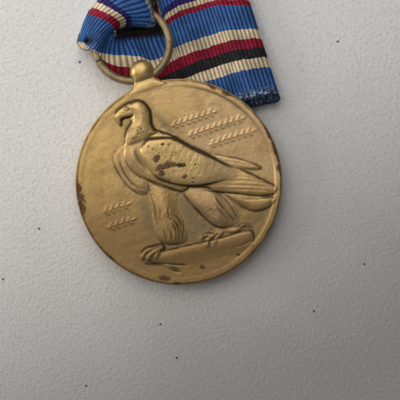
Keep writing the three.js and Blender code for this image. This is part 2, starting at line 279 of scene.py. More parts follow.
WING = [(-2.0, 7.4), (0.0, 8.0), (1.9, 6.4), (3.0, 5.0), (5.0, 3.35), (6.6, 1.5), (8.1, 0.2), (10, -1.3),
        (12, -3.1), (13.9, -5.0), (14.05, -5.6), (13.3, -6.1), (11, -5.6), (8, -4.3), (5, -3.0), (3.9, -2.0),
        (1.0, -0.9), (-1.5, 2.0)]
COVERTS = [(-3.9, 7.0), (-2.6, 7.75), (-1.2, 7.55), (0.8, 6.95), (2.1, 5.9), (4.0, 3.9), (6.0, 2.1),
           (7.6, 0.4), (8.8, -1.0), (8.4, -1.8), (7.0, -1.75), (4.5, -1.55), (2.3, -1.15), (0.3, -0.4),
           (-1.5, 0.6), (-3.1, 2.0), (-3.9, 4.0), (-4.2, 6.0)]
TAIL = [(6.2, -3.7), (7.0, -4.9), (8.0, -6.0), (9.0, -7.1), (10, -7.8), (12, -7.9), (13.3, -7.2),
        (13.0, -6.6), (10.5, -5.6), (8.0, -4.4)]
TAIL_INSET = [(7.6, -5.0), (8.6, -5.5), (11.0, -6.0), (12.9, -6.7), (12.6, -7.3), (11.0, -7.6), (9.8, -7.3)]
FRONT_LEG = [(-4.5, 1.9), (-5.0, 0.2), (-5.2, -2.1), (-5.35, -4.5), (-5.7, -6.2), (-5.6, -7.7), (-4.6, -8.6),
             (-3.2, -9.0), (-1.9, -9.1), (-1.2, -8.2), (-1.1, -5.5), (-1.3, -3.0), (-0.5, -1.2), (-2.0, 0.6)]
REAR_LEG = [(-0.1, -0.8), (0.1, -2.0), (1.0, -4.0), (2.0, -6.0), (2.8, -7.6), (4.2, -8.7), (5.8, -9.0),
            (6.9, -8.7), (6.9, -7.2), (6.3, -5.4), (5.6, -3.9), (4.2, -2.4), (2.5, -1.0)]
REAR_SHADE = [(5.3, -3.4), (6.6, -4.6), (7.3, -6.4), (7.2, -8.4), (6.4, -9.1), (5.6, -8.0), (5.4, -5.0)]
FRONT_FOOT = [(-9.1, -9.3), (-8.8, -8.5), (-7.9, -8.15), (-6.6, -8.2), (-5.6, -8.3), (-5.2, -9.0),
              (-6.0, -9.4), (-6.9, -9.9), (-7.6, -10.4), (-8.6, -10.1)]
ROCK = [(-8.9, -10.2), (-7.6, -9.7), (-6.0, -9.45), (-4.0, -9.6), (0.0, -9.95), (3.0, -10.3), (7.0, -10.35),
        (8.4, -10.6), (8.55, -11.4), (8.2, -12.3), (7.3, -13.0), (3.0, -14.0), (-2.0, -14.2),
        (-4.1, -13.9), (-4.6, -13.1), (-5.6, -12.1), (-6.6, -11.3), (-7.8, -10.9)]

EYE = (-4.1, 13.3)
RIM_START = 14.7
RIM_TOP = 15.15
RIM_RISE = 0.13
DISH_DEPTH = 0.10
LONG_FEATHER = 0.62
BARB = 0.21
TAIL_FEATHER = 0.5
LEG_STRAND = 0.55
COVERT_LENGTH = 0.95
COVERT_WIDTH = 0.8
COVERT_LEVEL = 0.40
HACKLE_LENGTH = 0.5
HACKLE_WIDTH = 0.42


def along_wing(x, y, pitch):
    """A phase that grows by one for each long feather, counted across the wing."""
    return (y + 0.36 * x + 0.012 * (x - 9) ** 2) / pitch


def to_nearest(value):
    """How far a value is from the nearest whole number."""
    return np.abs(value - np.round(value))


def wing_shape(x, y, _depth, height):
    """Sinks towards the tip, and is cut into long feathers with fine barbs."""
    barbs = smoothstep(3.5, 8.0, x)
    groove = np.exp(-(to_nearest(along_wing(x, y, LONG_FEATHER)) / 0.13) ** 2)
    fine = np.sin(2 * np.pi * along_wing(x, y, BARB))
    return height * (1 - 0.25 * smoothstep(6, 14, x)) - barbs * (0.045 * groove + 0.018 * fine)


def coverts_shape(x, y, depth, height):
    """High at the shoulder, sinking into the long feathers towards the tip, with worn feather tips."""
    fade = 1 - smoothstep(3.0, 9.2, x - 0.25 * y)
    row = (x * 0.8 - y * 0.6) / COVERT_LENGTH
    across = (x * 0.6 + y * 0.8) / COVERT_WIDTH + 0.5 * np.floor(row)
    tip = to_nearest(across) * 2
    edge = (row - np.floor(row)) - 0.75 + 0.3 * tip ** 2
    scallop = np.exp(-(edge / 0.12) ** 2) * smoothstep(0.3, 1.0, depth)
    worn = 0.4 + 0.6 * smoothstep(-0.1, 0.5, noise(x, y, 1.6, 5))
    return COVERT_LEVEL + (height - COVERT_LEVEL) * (0.3 + 0.7 * fade) - 0.03 * scallop * worn


def far_wing_shape(_x, _y, depth, height):
    """Ridges that follow the far wing's edge."""
    band = smoothstep(0.3, 0.7, depth) * (1 - smoothstep(1.6, 2.4, depth))
    return height + 0.025 * band * np.cos(2 * np.pi * depth / 0.85)


def hackle_shape(x, y, depth, height):
    """Short overlapping neck feathers, stronger towards the breast."""
    row = y / HACKLE_LENGTH
    across = x / HACKLE_WIDTH + 0.5 * np.floor(row)
    tip = to_nearest(across) * 2
    edge = (row - np.floor(row)) - 0.25 * tip ** 2 - 0.15
    amount = 0.028 * smoothstep(11.5, 9.0, y) * smoothstep(-0.3, 0.4, noise(x, y, 0.9, 6))
    mottle = 0.03 * noise(x, y, 0.45, 7) * smoothstep(0.3, 0.9, depth)
    return height - amount * np.exp(-(edge / 0.14) ** 2) + mottle


def rock_shape(x, y, _depth, height):
    """A ledge that slopes away and sinks into the field."""
    return height * smoothstep(-13.3, -10.2, y + 0.05 * x)


def tail_shape(x, y, _depth, height):
    """Cut into feathers that run along the tail."""
    groove = np.exp(-(to_nearest((y + 0.62 * x) / TAIL_FEATHER) / 0.16) ** 2)
    return height - 0.05 * groove * smoothstep(6.5, 9.0, x)


def leg_shape(x, y, _depth, height):
    """Low where it comes out from under the wing, with long strands of feather further down."""
    height = height * (0.45 + 0.55 * smoothstep(1.5, -3.5, y)) * (1 - 0.8 * smoothstep(-3.4, -1.1, x))
    strands = np.sin(2 * np.pi * (x + 0.15 * np.sin(1.3 * y)) / LEG_STRAND)
    return height + 0.015 * strands * smoothstep(-2.5, -5.5, y)


def rear_leg_shape(x, y, _depth, height):
    """Low where it comes out from under the wing, and sinking into the field behind."""
    return height * (0.3 + 0.7 * smoothstep(-0.5, -5.0, y)) * (1 - 0.85 * smoothstep(4.0, 6.8, x))


def sprig(relief, start, end, leaves):
    """A laurel sprig: a thin stem with leaves in pairs, and one at its tip."""
    lift = 0.11
    start, end = np.array(start), np.array(end)
    direction = (end - start) / np.linalg.norm(end - start)
    side = np.array((-direction[1], direction[0]))
    relief.stroke([start, (start + end) / 2 + 0.08 * side, end], 0.07, lift, taper=False)
    for number in range(leaves):
        root = start + (end - start) * (number + 0.3) / leaves
        for sign in (1, -1):
            tip = root + 0.62 * direction + sign * 0.52 * side
            middle = (root + tip) / 2 + sign * 0.09 * side - 0.05 * direction
            relief.stroke([root, middle, tip], 0.15, lift)
    relief.stroke([end, end + 0.3 * direction, end + 0.7 * direction], 0.14, lift)


# Ridges, or with a negative rise grooves: the width, the rise and the path of each.
STROKES = [
    # The head: the brow, the lid, the line of the mouth and the nostril.
    (0.16, 0.07, [(-5.2, 13.5), (-4.5, 13.62), (-3.7, 13.5)]),
    (0.1, -0.06, [(-4.7, 13.15), (-4.1, 12.98), (-3.6, 13.1)]),
    (0.11, -0.16, [(-5.6, 12.0), (-4.7, 12.04), (-3.5, 12.05)]),
    (0.08, -0.05, [(-5.35, 12.9), (-5.1, 12.8), (-4.9, 12.85)]),
    # The folded edge of the breast, the top of the wing, and the far wing's edges.
    (0.36, 0.16, [(-5.35, 7.3), (-5.5, 6.2), (-5.3, 4.9), (-4.6, 3.3)]),
    (0.18, -0.09, [(-6.3, 6.8), (-6.35, 5.4), (-5.95, 3.8), (-5.0, 2.2)]),
    (0.36, 0.14, [(-3.85, 6.8), (-3.85, 5.7), (-3.6, 4.8), (-3.2, 3.4)]),
    (0.2, -0.13, [(-4.75, 7.0), (-4.75, 5.8), (-4.45, 4.4), (-3.7, 2.9)]),
    (0.13, -0.24, [(-3.6, 7.1), (-2.6, 7.8), (-1.3, 7.6), (0.6, 7.1), (1.6, 6.6)]),
    (0.12, -0.08, [(-2.4, 8.4), (-1.0, 8.3), (0.3, 7.9)]),
    (0.14, 0.07, [(-7.9, 7.1), (-8.2, 6.0), (-8.1, 4.4), (-7.6, 2.4), (-6.6, 1.0), (-5.6, 0.4)]),
    (0.16, 0.08, [(-7.0, 6.6), (-7.25, 5.4), (-7.1, 3.8), (-6.5, 2.0), (-5.7, 0.9)]),
    (0.16, 0.24, [(-4.85, 1.2), (-4.95, -0.4), (-4.95, -2.4), (-5.3, -4.2), (-5.55, -6.0), (-5.4, -8.0)]),
    # The bands between the coverts and the tail.
    (0.09, -0.07, [(7.6, 1.1), (9.4, 0.2), (11.2, -0.8), (12.4, -1.45)]),
    (0.1, -0.1, [(7.6, -4.6), (9.5, -5.7), (11.5, -6.25), (13.1, -6.6)]),
    # The rock's cracks and its broken lower edge.
    (0.13, -0.13, [(-8.4, -10.4), (-7.2, -10.9), (-6.2, -11.3), (-5.5, -11.6), (-4.0, -12.2),
    (-2.4, -12.75)]),
    (0.14, -0.14, [(-5.6, -12.2), (-4.7, -13.0), (-4.0, -13.4)]),
    (0.12, 0.06, [(-2.5, -12.7), (-2.35, -13.2)]),
    (0.14, -0.08, [(5.0, -12.2), (6.4, -12.3), (7.6, -12.15), (8.3, -12.1)]),
]
# Locks of feather on the two legs.
LOCKS = [
    [(-3.3, -4.4), (-2.2, -5.0), (-1.9, -6.3), (-2.3, -7.8)],
    [(-3.1, -5.2), (-2.55, -5.9), (-2.45, -7.0), (-2.85, -8.2)],
    [(-3.4, -5.6), (-2.95, -6.5), (-2.95, -7.4), (-3.4, -8.2)],
    [(-4.2, -5.8), (-3.8, -6.8), (-3.85, -7.6), (-4.2, -8.3)],
    [(-1.9, -4.9), (-1.6, -5.9), (-1.65, -6.9), (-2.1, -8.0)],
    [(-4.75, -6.0), (-4.75, -7.0), (-4.6, -7.9)],
    [(-3.0, -3.2), (-3.25, -3.9), (-3.1, -4.6)],
    [(-4.6, -2.6), (-4.35, -3.3), (-4.5, -4.1)],
    [(4.5, -3.7), (4.8, -5.0), (5.4, -6.3)],
    [(4.1, -5.1), (4.7, -6.5), (5.5, -7.7)],
    [(3.7, -6.7), (4.4, -7.7), (5.2, -8.5)],
    [(5.2, -6.4), (5.9, -7.6), (6.5, -8.6)],
    [(5.6, -4.2), (6.2, -5.6), (6.6, -7.0), (6.9, -8.6)],
]
# Toes that end in claws, each with its width.
TOES = [
    ([(-5.7, -8.4), (-7.0, -8.4), (-8.2, -8.6), (-9.0, -9.4), (-8.95, -9.9)], 0.24),
    ([(-5.8, -8.95), (-7.0, -9.05), (-7.9, -9.5), (-8.2, -10.2)], 0.22),
    ([(-5.9, -9.3), (-6.7, -9.7), (-7.1, -10.3)], 0.2),
    ([(3.6, -9.0), (2.4, -9.35), (1.5, -9.05), (0.8, -9.3), (0.6, -9.95)], 0.27),
    ([(3.9, -9.2), (2.6, -9.6), (1.7, -9.8), (1.25, -10.6), (1.3, -11.0)], 0.27),
    ([(4.3, -9.3), (3.4, -9.8), (2.7, -10.2), (2.4, -10.8)], 0.22),
    ([(4.9, -9.1), (5.8, -9.5), (6.8, -9.45), (7.7, -9.3), (8.25, -9.75), (8.4, -10.35)], 0.24),
    ([(4.8, -9.4), (5.8, -9.85), (6.9, -9.85), (7.6, -10.1)], 0.2),
]
# The long feathers that overlap near the wing's tip: the two ends of each edge.
FEATHER_EDGES = [
    ((6.0, -3.1), (13.6, -5.75)), ((7.0, -2.7), (13.8, -5.15)), ((7.8, -2.1), (13.2, -4.2)),
    ((8.6, -1.7), (12.4, -3.4)),
]
# Laurel sprigs, one for each place where the real disc is lettered: two ends and the pairs of leaves.
SPRIGS = [
    ((1.6, 8.7), (8.3, 8.75), 7),
    ((3.6, 6.45), (12.2, 6.5), 9),
    ((6.3, 4.1), (13.2, 4.15), 7),
    ((-12.6, -0.85), (-8.7, -0.8), 4),
    ((-12.6, -3.35), (-8.7, -3.3), 4),
]


def eagle_relief():
    """The eagle on its rock, with the sprigs and the disc's rim."""
    relief = Relief()
    relief.form(FAR_WING_EDGE, 0.09, 0.9, base=0.0)
    relief.form(FAR_WING, 0.16, 0.9, base=0.06, shape=far_wing_shape)
    relief.form(FAR_WING_TIP, 0.17, 0.5)
    relief.form(REAR_SHADE, 0.06, 1.4, base=0.0)
    relief.form(FRONT_LEG, 0.44, 1.8, base=0.0, shape=leg_shape)
    relief.form(REAR_LEG, 0.42, 1.6, base=0.08, shape=rear_leg_shape)
    relief.form(BODY, 0.40, 2.2, base=0.22)
    relief.form(JAW, 0.3, 0.5)
    relief.form(BEAK, 0.46, 0.75, base=0.16)
    relief.form(NECK, 0.66, 1.9, base=0.2, shape=hackle_shape)
    relief.form(TAIL, 0.22, 0.7, base=0.06)
    relief.form(TAIL_INSET, 0.2, 0.6, base=0.16, shape=tail_shape)
    relief.form(WING, 0.36, 1.0, base=0.14, shape=wing_shape)
    relief.form(COVERTS, 0.42, 1.6, base=0.66, shape=coverts_shape)
    relief.form(ROCK, 0.16, 1.6, base=0.14, shape=rock_shape)
    relief.form(FRONT_FOOT, 0.26, 0.5, base=0.06)

    # The coverts run out softly into the long feathers.
    softened = blur(relief.height, 0.6)
    ease = np.exp(-((GX - 8.5) ** 2 + (GY + 1.3) ** 2) / 2.4)
    relief.height += ease * (softened - relief.height)

    relief.bead(*EYE, 0.24, 0.08)
    for width, rise, points in STROKES:
        relief.stroke(points, width, rise)
    for start, end in FEATHER_EDGES:
        middle = ((start[0] + end[0]) / 2, (start[1] + end[1]) / 2 + 0.12)
        relief.stroke([start, middle, end], 0.07, -0.09)
    for lock in LOCKS:
        shadow = [(x + 0.25, y - 0.02) for x, y in lock]
        relief.stroke(lock, 0.13, 0.10)
        relief.stroke(shadow, 0.11, -0.08)
    for toe, width in TOES:
        relief.stroke(toe, width, 0.22)
    for number in range(5):
        crease = -8.6 + 0.55 * number
        relief.stroke([(crease, -8.5), (crease + 0.08, -8.9), (crease + 0.02, -9.4)], 0.07, -0.06)
    for start, end, leaves in SPRIGS:
        sprig(relief, start, end, leaves)

    relief.height = blur(relief.height, 0.07)
    for rise, cell, seed in ((0.012, 0.8, 11), (0.010, 0.25, 12), (0.005, 0.13, 13)):
        relief.height += rise * noise(GX, GY, cell, seed)
    relief.height += DISH_DEPTH * smoothstep(4, 14, GR)
    towards_right = GX / np.maximum(GR, 1)
    rim = RIM_RISE * (0.2 + 1.7 * smoothstep(0.15, 0.85, towards_right)) * smoothstep(RIM_START, RIM_TOP, GR)
    return np.maximum(relief.height, 0) + rim * (1 - smoothstep(0.3, 0.8, relief.height))


def star_relief():
    """The hidden side: a plain five-pointed star inside a wreath of leaves."""
    relief = Relief()
    star = []
    for number in range(10):
        radius = 7.0 if number % 2 == 0 else 2.9
        angle = math.pi / 2 + number * math.pi / 5
        star.append((radius * math.cos(angle), radius * math.sin(angle)))
    outline = np.array(star + star[:1])
    depth, _ = distance_to(outline, GX, GY)
    relief.height = np.where(inside(outline, GX, GY), 0.1 + 0.22 * np.clip(depth, 0, 2), 0)
    for angle in np.radians(np.arange(-250, 70.1, 9.0)):
        for lean, radius in ((0.10, 10.2), (0.10, 12.0)):
            root = (11.1 * math.cos(angle), 11.1 * math.sin(angle))
            tip = (radius * math.cos(angle + lean), radius * math.sin(angle + lean))
            middle = ((root[0] + tip[0]) / 2 * 1.01, (root[1] + tip[1]) / 2 * 1.01)
            relief.stroke([root, middle, tip], 0.24, 0.2)
    relief.height = blur(relief.height, 0.09)
    relief.height += 0.28 * smoothstep(14.0, 15.4, GR) + 0.008 * noise(GX, GY, 0.4, 21)
    return relief.height


# ---- The disc's two faces as meshes ----

DISC_SEGMENTS = 512
FACE_RINGS = 150
BACK_RINGS = 90
EDGE_ROUNDING = 0.22

# Each half stops this far short of the middle, and its side wall is counted from this far below the rim.
SEAM = 0.001
SHOULDER = 0.25


def sample(raster, x, y):
    """The raster's value at any points, interpolated."""
    u, v = x / CELL + HALF_CELLS, y / CELL + HALF_CELLS
    i, j = np.floor(u).astype(int), np.floor(v).astype(int)
    s, t = u - i, v - j
    return ((raster[j, i] * (1 - s) + raster[j, i + 1] * s) * (1 - t)
            + (raster[j + 1, i] * (1 - s) + raster[j + 1, i + 1] * s) * t)


def shifted(raster, dx, dy):
    """The raster as seen from points moved by dx, dy millimetres."""
    return np.roll(raster, (-round(dy / CELL), -round(dx / CELL)), (0, 1))


def crevice_tarnish_and_shade(height):
    """Tarnish at the foot of every step, with painted shade: the feet on the left side of raised forms, which
    face the light, are left out.
    """
    reach = 0.22
    directions = [(-1, 0), (-0.7, 0.7), (0, 1), (-0.7, -0.7), (0, -1)]
    rises = [shifted(height, reach * dx, reach * dy) - height for dx, dy in directions]
    return smoothstep(0.03, 0.2, np.maximum.reduce(rises))


def hollows(height):
    """Broad shallow darkening, where the surface lies lower than its surroundings."""
    return smoothstep(0.0, 0.16, blur(height, 0.5) - height)


def from_mark(x, y, long_half, short_half, turn):
    """Distance from a mark's middle, which is 1 on its oval outline. The turn is in degrees."""
    cosine, sine = math.cos(math.radians(turn)), math.sin(math.radians(turn))
    u = ((GX - x) * cosine + (GY - y) * sine) / long_half
    v = ((GY - y) * cosine - (GX - x) * sine) / short_half
    return np.hypot(u, v)


def spots(marks):
    """Spots with ragged edges."""
    ragged = 0.35 * noise(GX, GY, 0.35, 31) + 0.25 * noise(GX, GY, 0.14, 32)
    return np.maximum.reduce([smoothstep(1.15, 0.75, from_mark(*mark) + ragged) for mark in marks])


def dirt_and_shade_patches():
    return np.maximum.reduce([np.exp(-from_mark(*mark) ** 2) for mark in DIRT_AND_SHADE_PATCHES])


# Marks: the place, the two half-lengths and the turn in degrees of each.
RUST_MARKS = [
    (-2.2, 4.6, 0.65, 0.6, 0), (-1.2, 3.1, 1.7, 0.6, -5), (-2.1, 2.3, 0.5, 0.6, 0), (-15.5, 4.4, 0.9, 3.0, 8),
    (-15.4, 1.0, 0.45, 1.4, 0), (9.3, 12.5, 0.9, 0.25, -52), (11.2, 10.8, 0.8, 0.3, -45),
    (15.5, 3.4, 0.3, 1.4, 0),
    (15.7, 0.2, 0.25, 2.2, 0), (1.1, 0.6, 0.5, 0.35, 20), (-6.6, -13.6, 1.0, 0.4, -25),
    (-13.9, -7.9, 1.1, 0.45, -60), (-4.6, 8.7, 0.25, 0.2, 0), (-3.0, 9.7, 0.2, 0.2, 0),
    (-0.6, 6.4, 0.35, 0.2, 0),
    (-2.8, 6.8, 0.25, 0.15, 0), (15.5, -2.9, 0.4, 1.0, 0), (-0.5, -13.75, 0.42, 0.4, 0),
]
DARK_MARKS = [
    (1.05, 2.5, 0.95, 0.42, -18), (5.4, -13.5, 0.24, 0.2, 0), (2.3, 0.0, 0.16, 0.12, 0),
    (2.1, -0.55, 0.14, 0.14, 0),
    (3.3, 1.95, 0.2, 0.14, 0), (3.8, 1.75, 0.12, 0.12, 0), (0.3, 6.05, 0.15, 0.12, 0),
    (-15.1, -5.6, 0.35, 1.4, 20), (-13.1, -9.3, 0.9, 0.25, -55), (-4.9, -14.9, 0.6, 0.2, -10),
]
# Soft greenish dirt and painted shade: between and beside the legs, under the tail.
DIRT_AND_SHADE_PATCHES = [
    (0.2, -4.6, 1.5, 3.6, 10), (-0.2, -8.2, 2.6, 1.2, 0), (-6.2, -4.0, 0.9, 4.2, 0),
    (6.8, -7.4, 0.9, 1.6, 15),
    (9.5, -9.0, 3.0, 0.7, 20), (1.0, -7.0, 2.2, 2.6, 0), (-4.9, 10.4, 0.7, 1.0, 20),
    (0.6, 9.4, 0.6, 2.4, 25), (-7.6, -10.2, 1.6, 0.7, -20),
    (-5.2, 0.9, 0.9, 1.2, 0), (-2.2, 1.2, 1.6, 0.5, -40),
]
# The deepest lines of the design, which hold the darkest tarnish.
DARK_LINES = [
    [(-5.4, 13.85), (-4.2, 13.98), (-3.0, 14.22), (-1.9, 13.98), (-1.2, 13.1), (-0.95, 11.8), (-1.15, 10.2),
     (-0.95, 9.0), (0.1, 8.05), (1.7, 6.9), (3.2, 5.2), (5.2, 3.4), (6.8, 1.5), (8.3, 0.2), (11.0, -2.2)],
    [(-4.7, 13.45), (-4.2, 13.6), (-3.8, 13.45)],
    [(-5.7, 12.0), (-4.8, 12.02), (-3.8, 11.9)],
    [(-4.1, 11.2), (-5.1, 10.2), (-5.85, 9.1), (-6.2, 8.2)],
    [(-3.4, 7.2), (-2.4, 7.85), (-1.2, 7.6), (0.6, 7.1), (1.6, 6.6)],
    [(-3.4, 3.0), (-2.6, 1.6), (-1.2, 0.2), (0.7, -0.8), (2.8, -1.45), (5.2, -1.75), (7.6, -1.6)],
    [(-5.3, 3.3), (-4.3, 1.6), (-2.6, 0.1), (-0.8, -1.05), (0.1, -1.6)],
    [(-8.45, 7.3), (-8.7, 6.0), (-8.5, 4.4), (-7.9, 2.3), (-6.8, 0.6), (-5.6, -0.2), (-5.1, 0.3)],
    [(-7.6, 7.0), (-7.75, 5.6), (-7.6, 4.0), (-7.0, 2.2), (-6.1, 0.95)],
    [(-6.7, 6.4), (-6.7, 5.2), (-6.3, 3.9), (-5.4, 2.6), (-4.5, 1.9)],
    [(3.2, -1.8), (3.9, -2.6), (5.8, -3.5), (8.0, -4.35), (10.5, -5.45), (13.2, -6.15)],
    [(6.4, -4.2), (7.3, -5.7), (8.8, -7.2), (10.4, -8.0), (12.0, -7.95), (13.2, -7.3)],
    [(0.0, -1.6), (0.7, -3.5), (1.7, -5.5), (2.7, -7.4), (3.8, -8.6)],
    [(-6.4, -9.35), (-3.5, -9.6), (0.0, -9.9), (1.4, -10.05)], [(-6.0, -9.5), (-2.0, -9.75), (1.0, -10.05)],
    [(3.8, -10.35), (6.5, -10.3), (8.3, -10.55), (8.6, -11.3), (8.3, -12.3), (7.4, -12.95)],
    [(-8.4, -10.35), (-7.2, -10.9), (-6.0, -11.4)], [(-8.0, -10.65), (-7.0, -11.1), (-6.1, -11.5)],
    [(-5.7, -12.0), (-4.8, -12.9), (-3.9, -13.45)], [(-5.3, -11.85), (-4.4, -12.7), (-3.8, -13.3)],
    [(-5.4, -11.6), (-4.0, -12.1), (-2.4, -12.75)],
    [(0.1, -1.4), (0.55, -3.3), (1.5, -5.3), (2.5, -7.2), (3.5, -8.4)],
    [(-9.3, -9.0), (-8.9, -8.45), (-7.6, -8.22), (-6.0, -8.4), (-5.5, -8.5)],
    [(0.6, -9.4), (1.1, -8.9), (2.1, -8.85), (2.8, -9.3), (3.6, -9.5)],
    [(5.7, -9.1), (6.7, -9.3), (7.5, -9.0), (8.4, -9.6)],
    [(6.3, 2.55), (8.6, 1.5), (10.6, 0.3), (12.8, -1.75), (11.2, -1.45), (9.6, -0.75)],
]


def dark_lines():
    """Tarnish in the deepest lines, broken here and there."""
    lines = Relief()
    for points in DARK_LINES:
        lines.stroke(points, 0.13, 1.15)
    broken = smoothstep(-0.9, 0.2, noise(GX, GY, 0.7, 34))
    return np.clip(lines.height, 0, 1) * (0.5 + 0.5 * broken)


def pinholes():
    """Small dark pits scattered over the shoulder, the neck and the breast."""
    draw = np.random.default_rng(35)
    marks = []
    groups = (
        (-0.5, 3.2, 2.2, 2.0, 46), (-3.6, 9.3, 1.0, 1.2, 22), (0.0, 6.2, 1.8, 0.5, 14),
        (3.5, -5.0, 1.2, 2.0, 8), (-3.4, -4.5, 1.0, 2.5, 12),
    )
    for x, y, spread_x, spread_y, count in groups:
        for _ in range(count):
            radius = draw.uniform(0.05, 0.11)
            marks.append((draw.normal(x, spread_x * 0.6), draw.normal(y, spread_y * 0.6), radius, radius, 0))
    return marks


def disc_half(name, height, field, sign, rings):
    """One face of the disc with half of its edge, closed across the middle of its thickness.

    sign is 1 for the eagle's face and -1 for the other, whose X is mirrored.
    """
    middle = DISC_THICKNESS / 2
    flat_to = DISC_RADIUS - EDGE_ROUNDING
    angles = np.arange(DISC_SEGMENTS) * 2 * math.pi / DISC_SEGMENTS
    circle = np.column_stack([np.cos(angles), np.sin(angles)])
    radii = np.linspace(0, flat_to, rings + 1)[1:]
    plan = np.vstack([np.zeros((1, 2))] + [radius * circle for radius in radii])
    rise = sample(height, sign * plan[:, 0], plan[:, 1])
    surface = [np.column_stack([plan, middle + sign * (rise + field - middle)])]
    rim_height = surface[0][-DISC_SEGMENTS:, 2]

    # The rounded edge, and the side wall with its small dents.
    for turn in np.radians([25, 50, 75, 90]):
        radius = flat_to + EDGE_ROUNDING * math.sin(turn)
        drop = EDGE_ROUNDING * (1 - math.cos(turn))
        surface.append(np.column_stack([radius * circle, rim_height - sign * drop]))
    dents = 0.015 * np.sin(7 * angles + 1) + 0.012 * np.sin(17 * angles)
    wall = (DISC_RADIUS + dents)[:, None] * circle
    wall_height = (rim_height.mean() - middle) * sign - SHOULDER
    for level in (0.55, 0.0):
        z = middle + sign * (SEAM + level * wall_height)
        surface.append(np.column_stack([wall, np.full(DISC_SEGMENTS, z)]))

    points = np.vstack(surface + [np.array([[0, 0, middle + sign * SEAM]])])
    rows = (len(points) - 2) // DISC_SEGMENTS
    last = len(points) - 1
    ring_start = 1 + (rows - 1) * DISC_SEGMENTS
    faces = [tuple(1 + corner for corner in face) for face in tube_faces(rows, DISC_SEGMENTS)]
    for column in range(DISC_SEGMENTS):
        beside = (column + 1) % DISC_SEGMENTS
        faces.append((0, 1 + column, 1 + beside))
        faces.append((last, ring_start + beside, ring_start + column))
    if sign < 0:
        faces = [face[::-1] for face in faces]
    piece = add_mesh(name, points, faces, MEDAL)
    piece.data.set_sharp_from_angle(angle=math.radians(70))
    return piece, plan


def paint_face(piece, name, masks):
    """Stores masks given on the face; the edge has half of what the outermost ring has."""
    values = np.column_stack(masks)
    rest = len(piece.data.vertices) - len(values)
    outermost = 0.5 * values[-DISC_SEGMENTS:]
    edge = np.tile(outermost, (rest // DISC_SEGMENTS, 1))
    centre = np.zeros((1, values.shape[1]))
    paint(piece, name, np.vstack([values, edge, centre]))


def build_front():
    """The eagle's face. Masks: the first holds grime with painted shade, rust and dark marks; the second
    holds rubbed, dirt with painted shade, and painted shade towards the lower side.
    """
    height = eagle_relief()
    # Painted shade: a thin dark ring along the disc's outer edge.
    painted_edge_shade = 0.9 * smoothstep(15.56, 15.76, GR + 0.08 * noise(GX, GY, 0.9, 37))
    # Grime: tarnish in the deepest lines, with painted shade in the crevices and along the edge.
    grime_and_shade = np.maximum.reduce([crevice_tarnish_and_shade(height), dark_lines(), painted_edge_shade])
    rust = spots(RUST_MARKS)
    dark = spots(DARK_MARKS + pinholes())
    height -= np.clip(rust + dark, 0, 1) * (0.03 + 0.03 * noise(GX, GY, 0.12, 33))
    front, plan = disc_half("disc_face", height, FRONT_FIELD, 1, FACE_RINGS)
    x, y = plan.T
    paint_face(front, "tarnish_and_shade", [sample(mask, x, y) for mask in (grime_and_shade, rust, dark)])

    # The field and the relief are worn differently: the height drives how far the gilding is rubbed.
    rubbed = smoothstep(0.35, 0.95, height)
    # The dirt mask is partly painted shade, from the patches between the legs and under the wing and tail.
    dirt_and_shade = np.maximum(0.6 * hollows(height), dirt_and_shade_patches())
    # Painted shade: the face is painted darker brown towards its lower side.
    lower_side_shade = smoothstep(5.0, -10.0, 0.3 * x + 0.95 * y + 1.5 * noise(x, y, 3.0, 36))
    paint_face(front, "rub", [sample(rubbed, x, y), sample(dirt_and_shade, x, y), lower_side_shade])
    return front


def build_back():
    """The other face, tarnished in its crevices only; that mask also holds painted shade at the foot of its
    steps.
    """
    height = star_relief()
    back, plan = disc_half("disc_back_face", height, DISC_THICKNESS - BACK_FIELD, -1, BACK_RINGS)
    blank = np.zeros(len(plan))
    paint_face(back, "tarnish_and_shade", [sample(crevice_tarnish_and_shade(height), -plan[:, 0], plan[:, 1]), blank, blank])
    paint_face(back, "rub", [blank, blank, blank])
    return back


def build_disc():
    """Both faces; together they stand for the struck disc."""
    faces = build_front(), build_back()
    for piece in faces:
        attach(piece, "medal")
        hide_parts("medal_disc")
    return faces


# ---- Materials ----

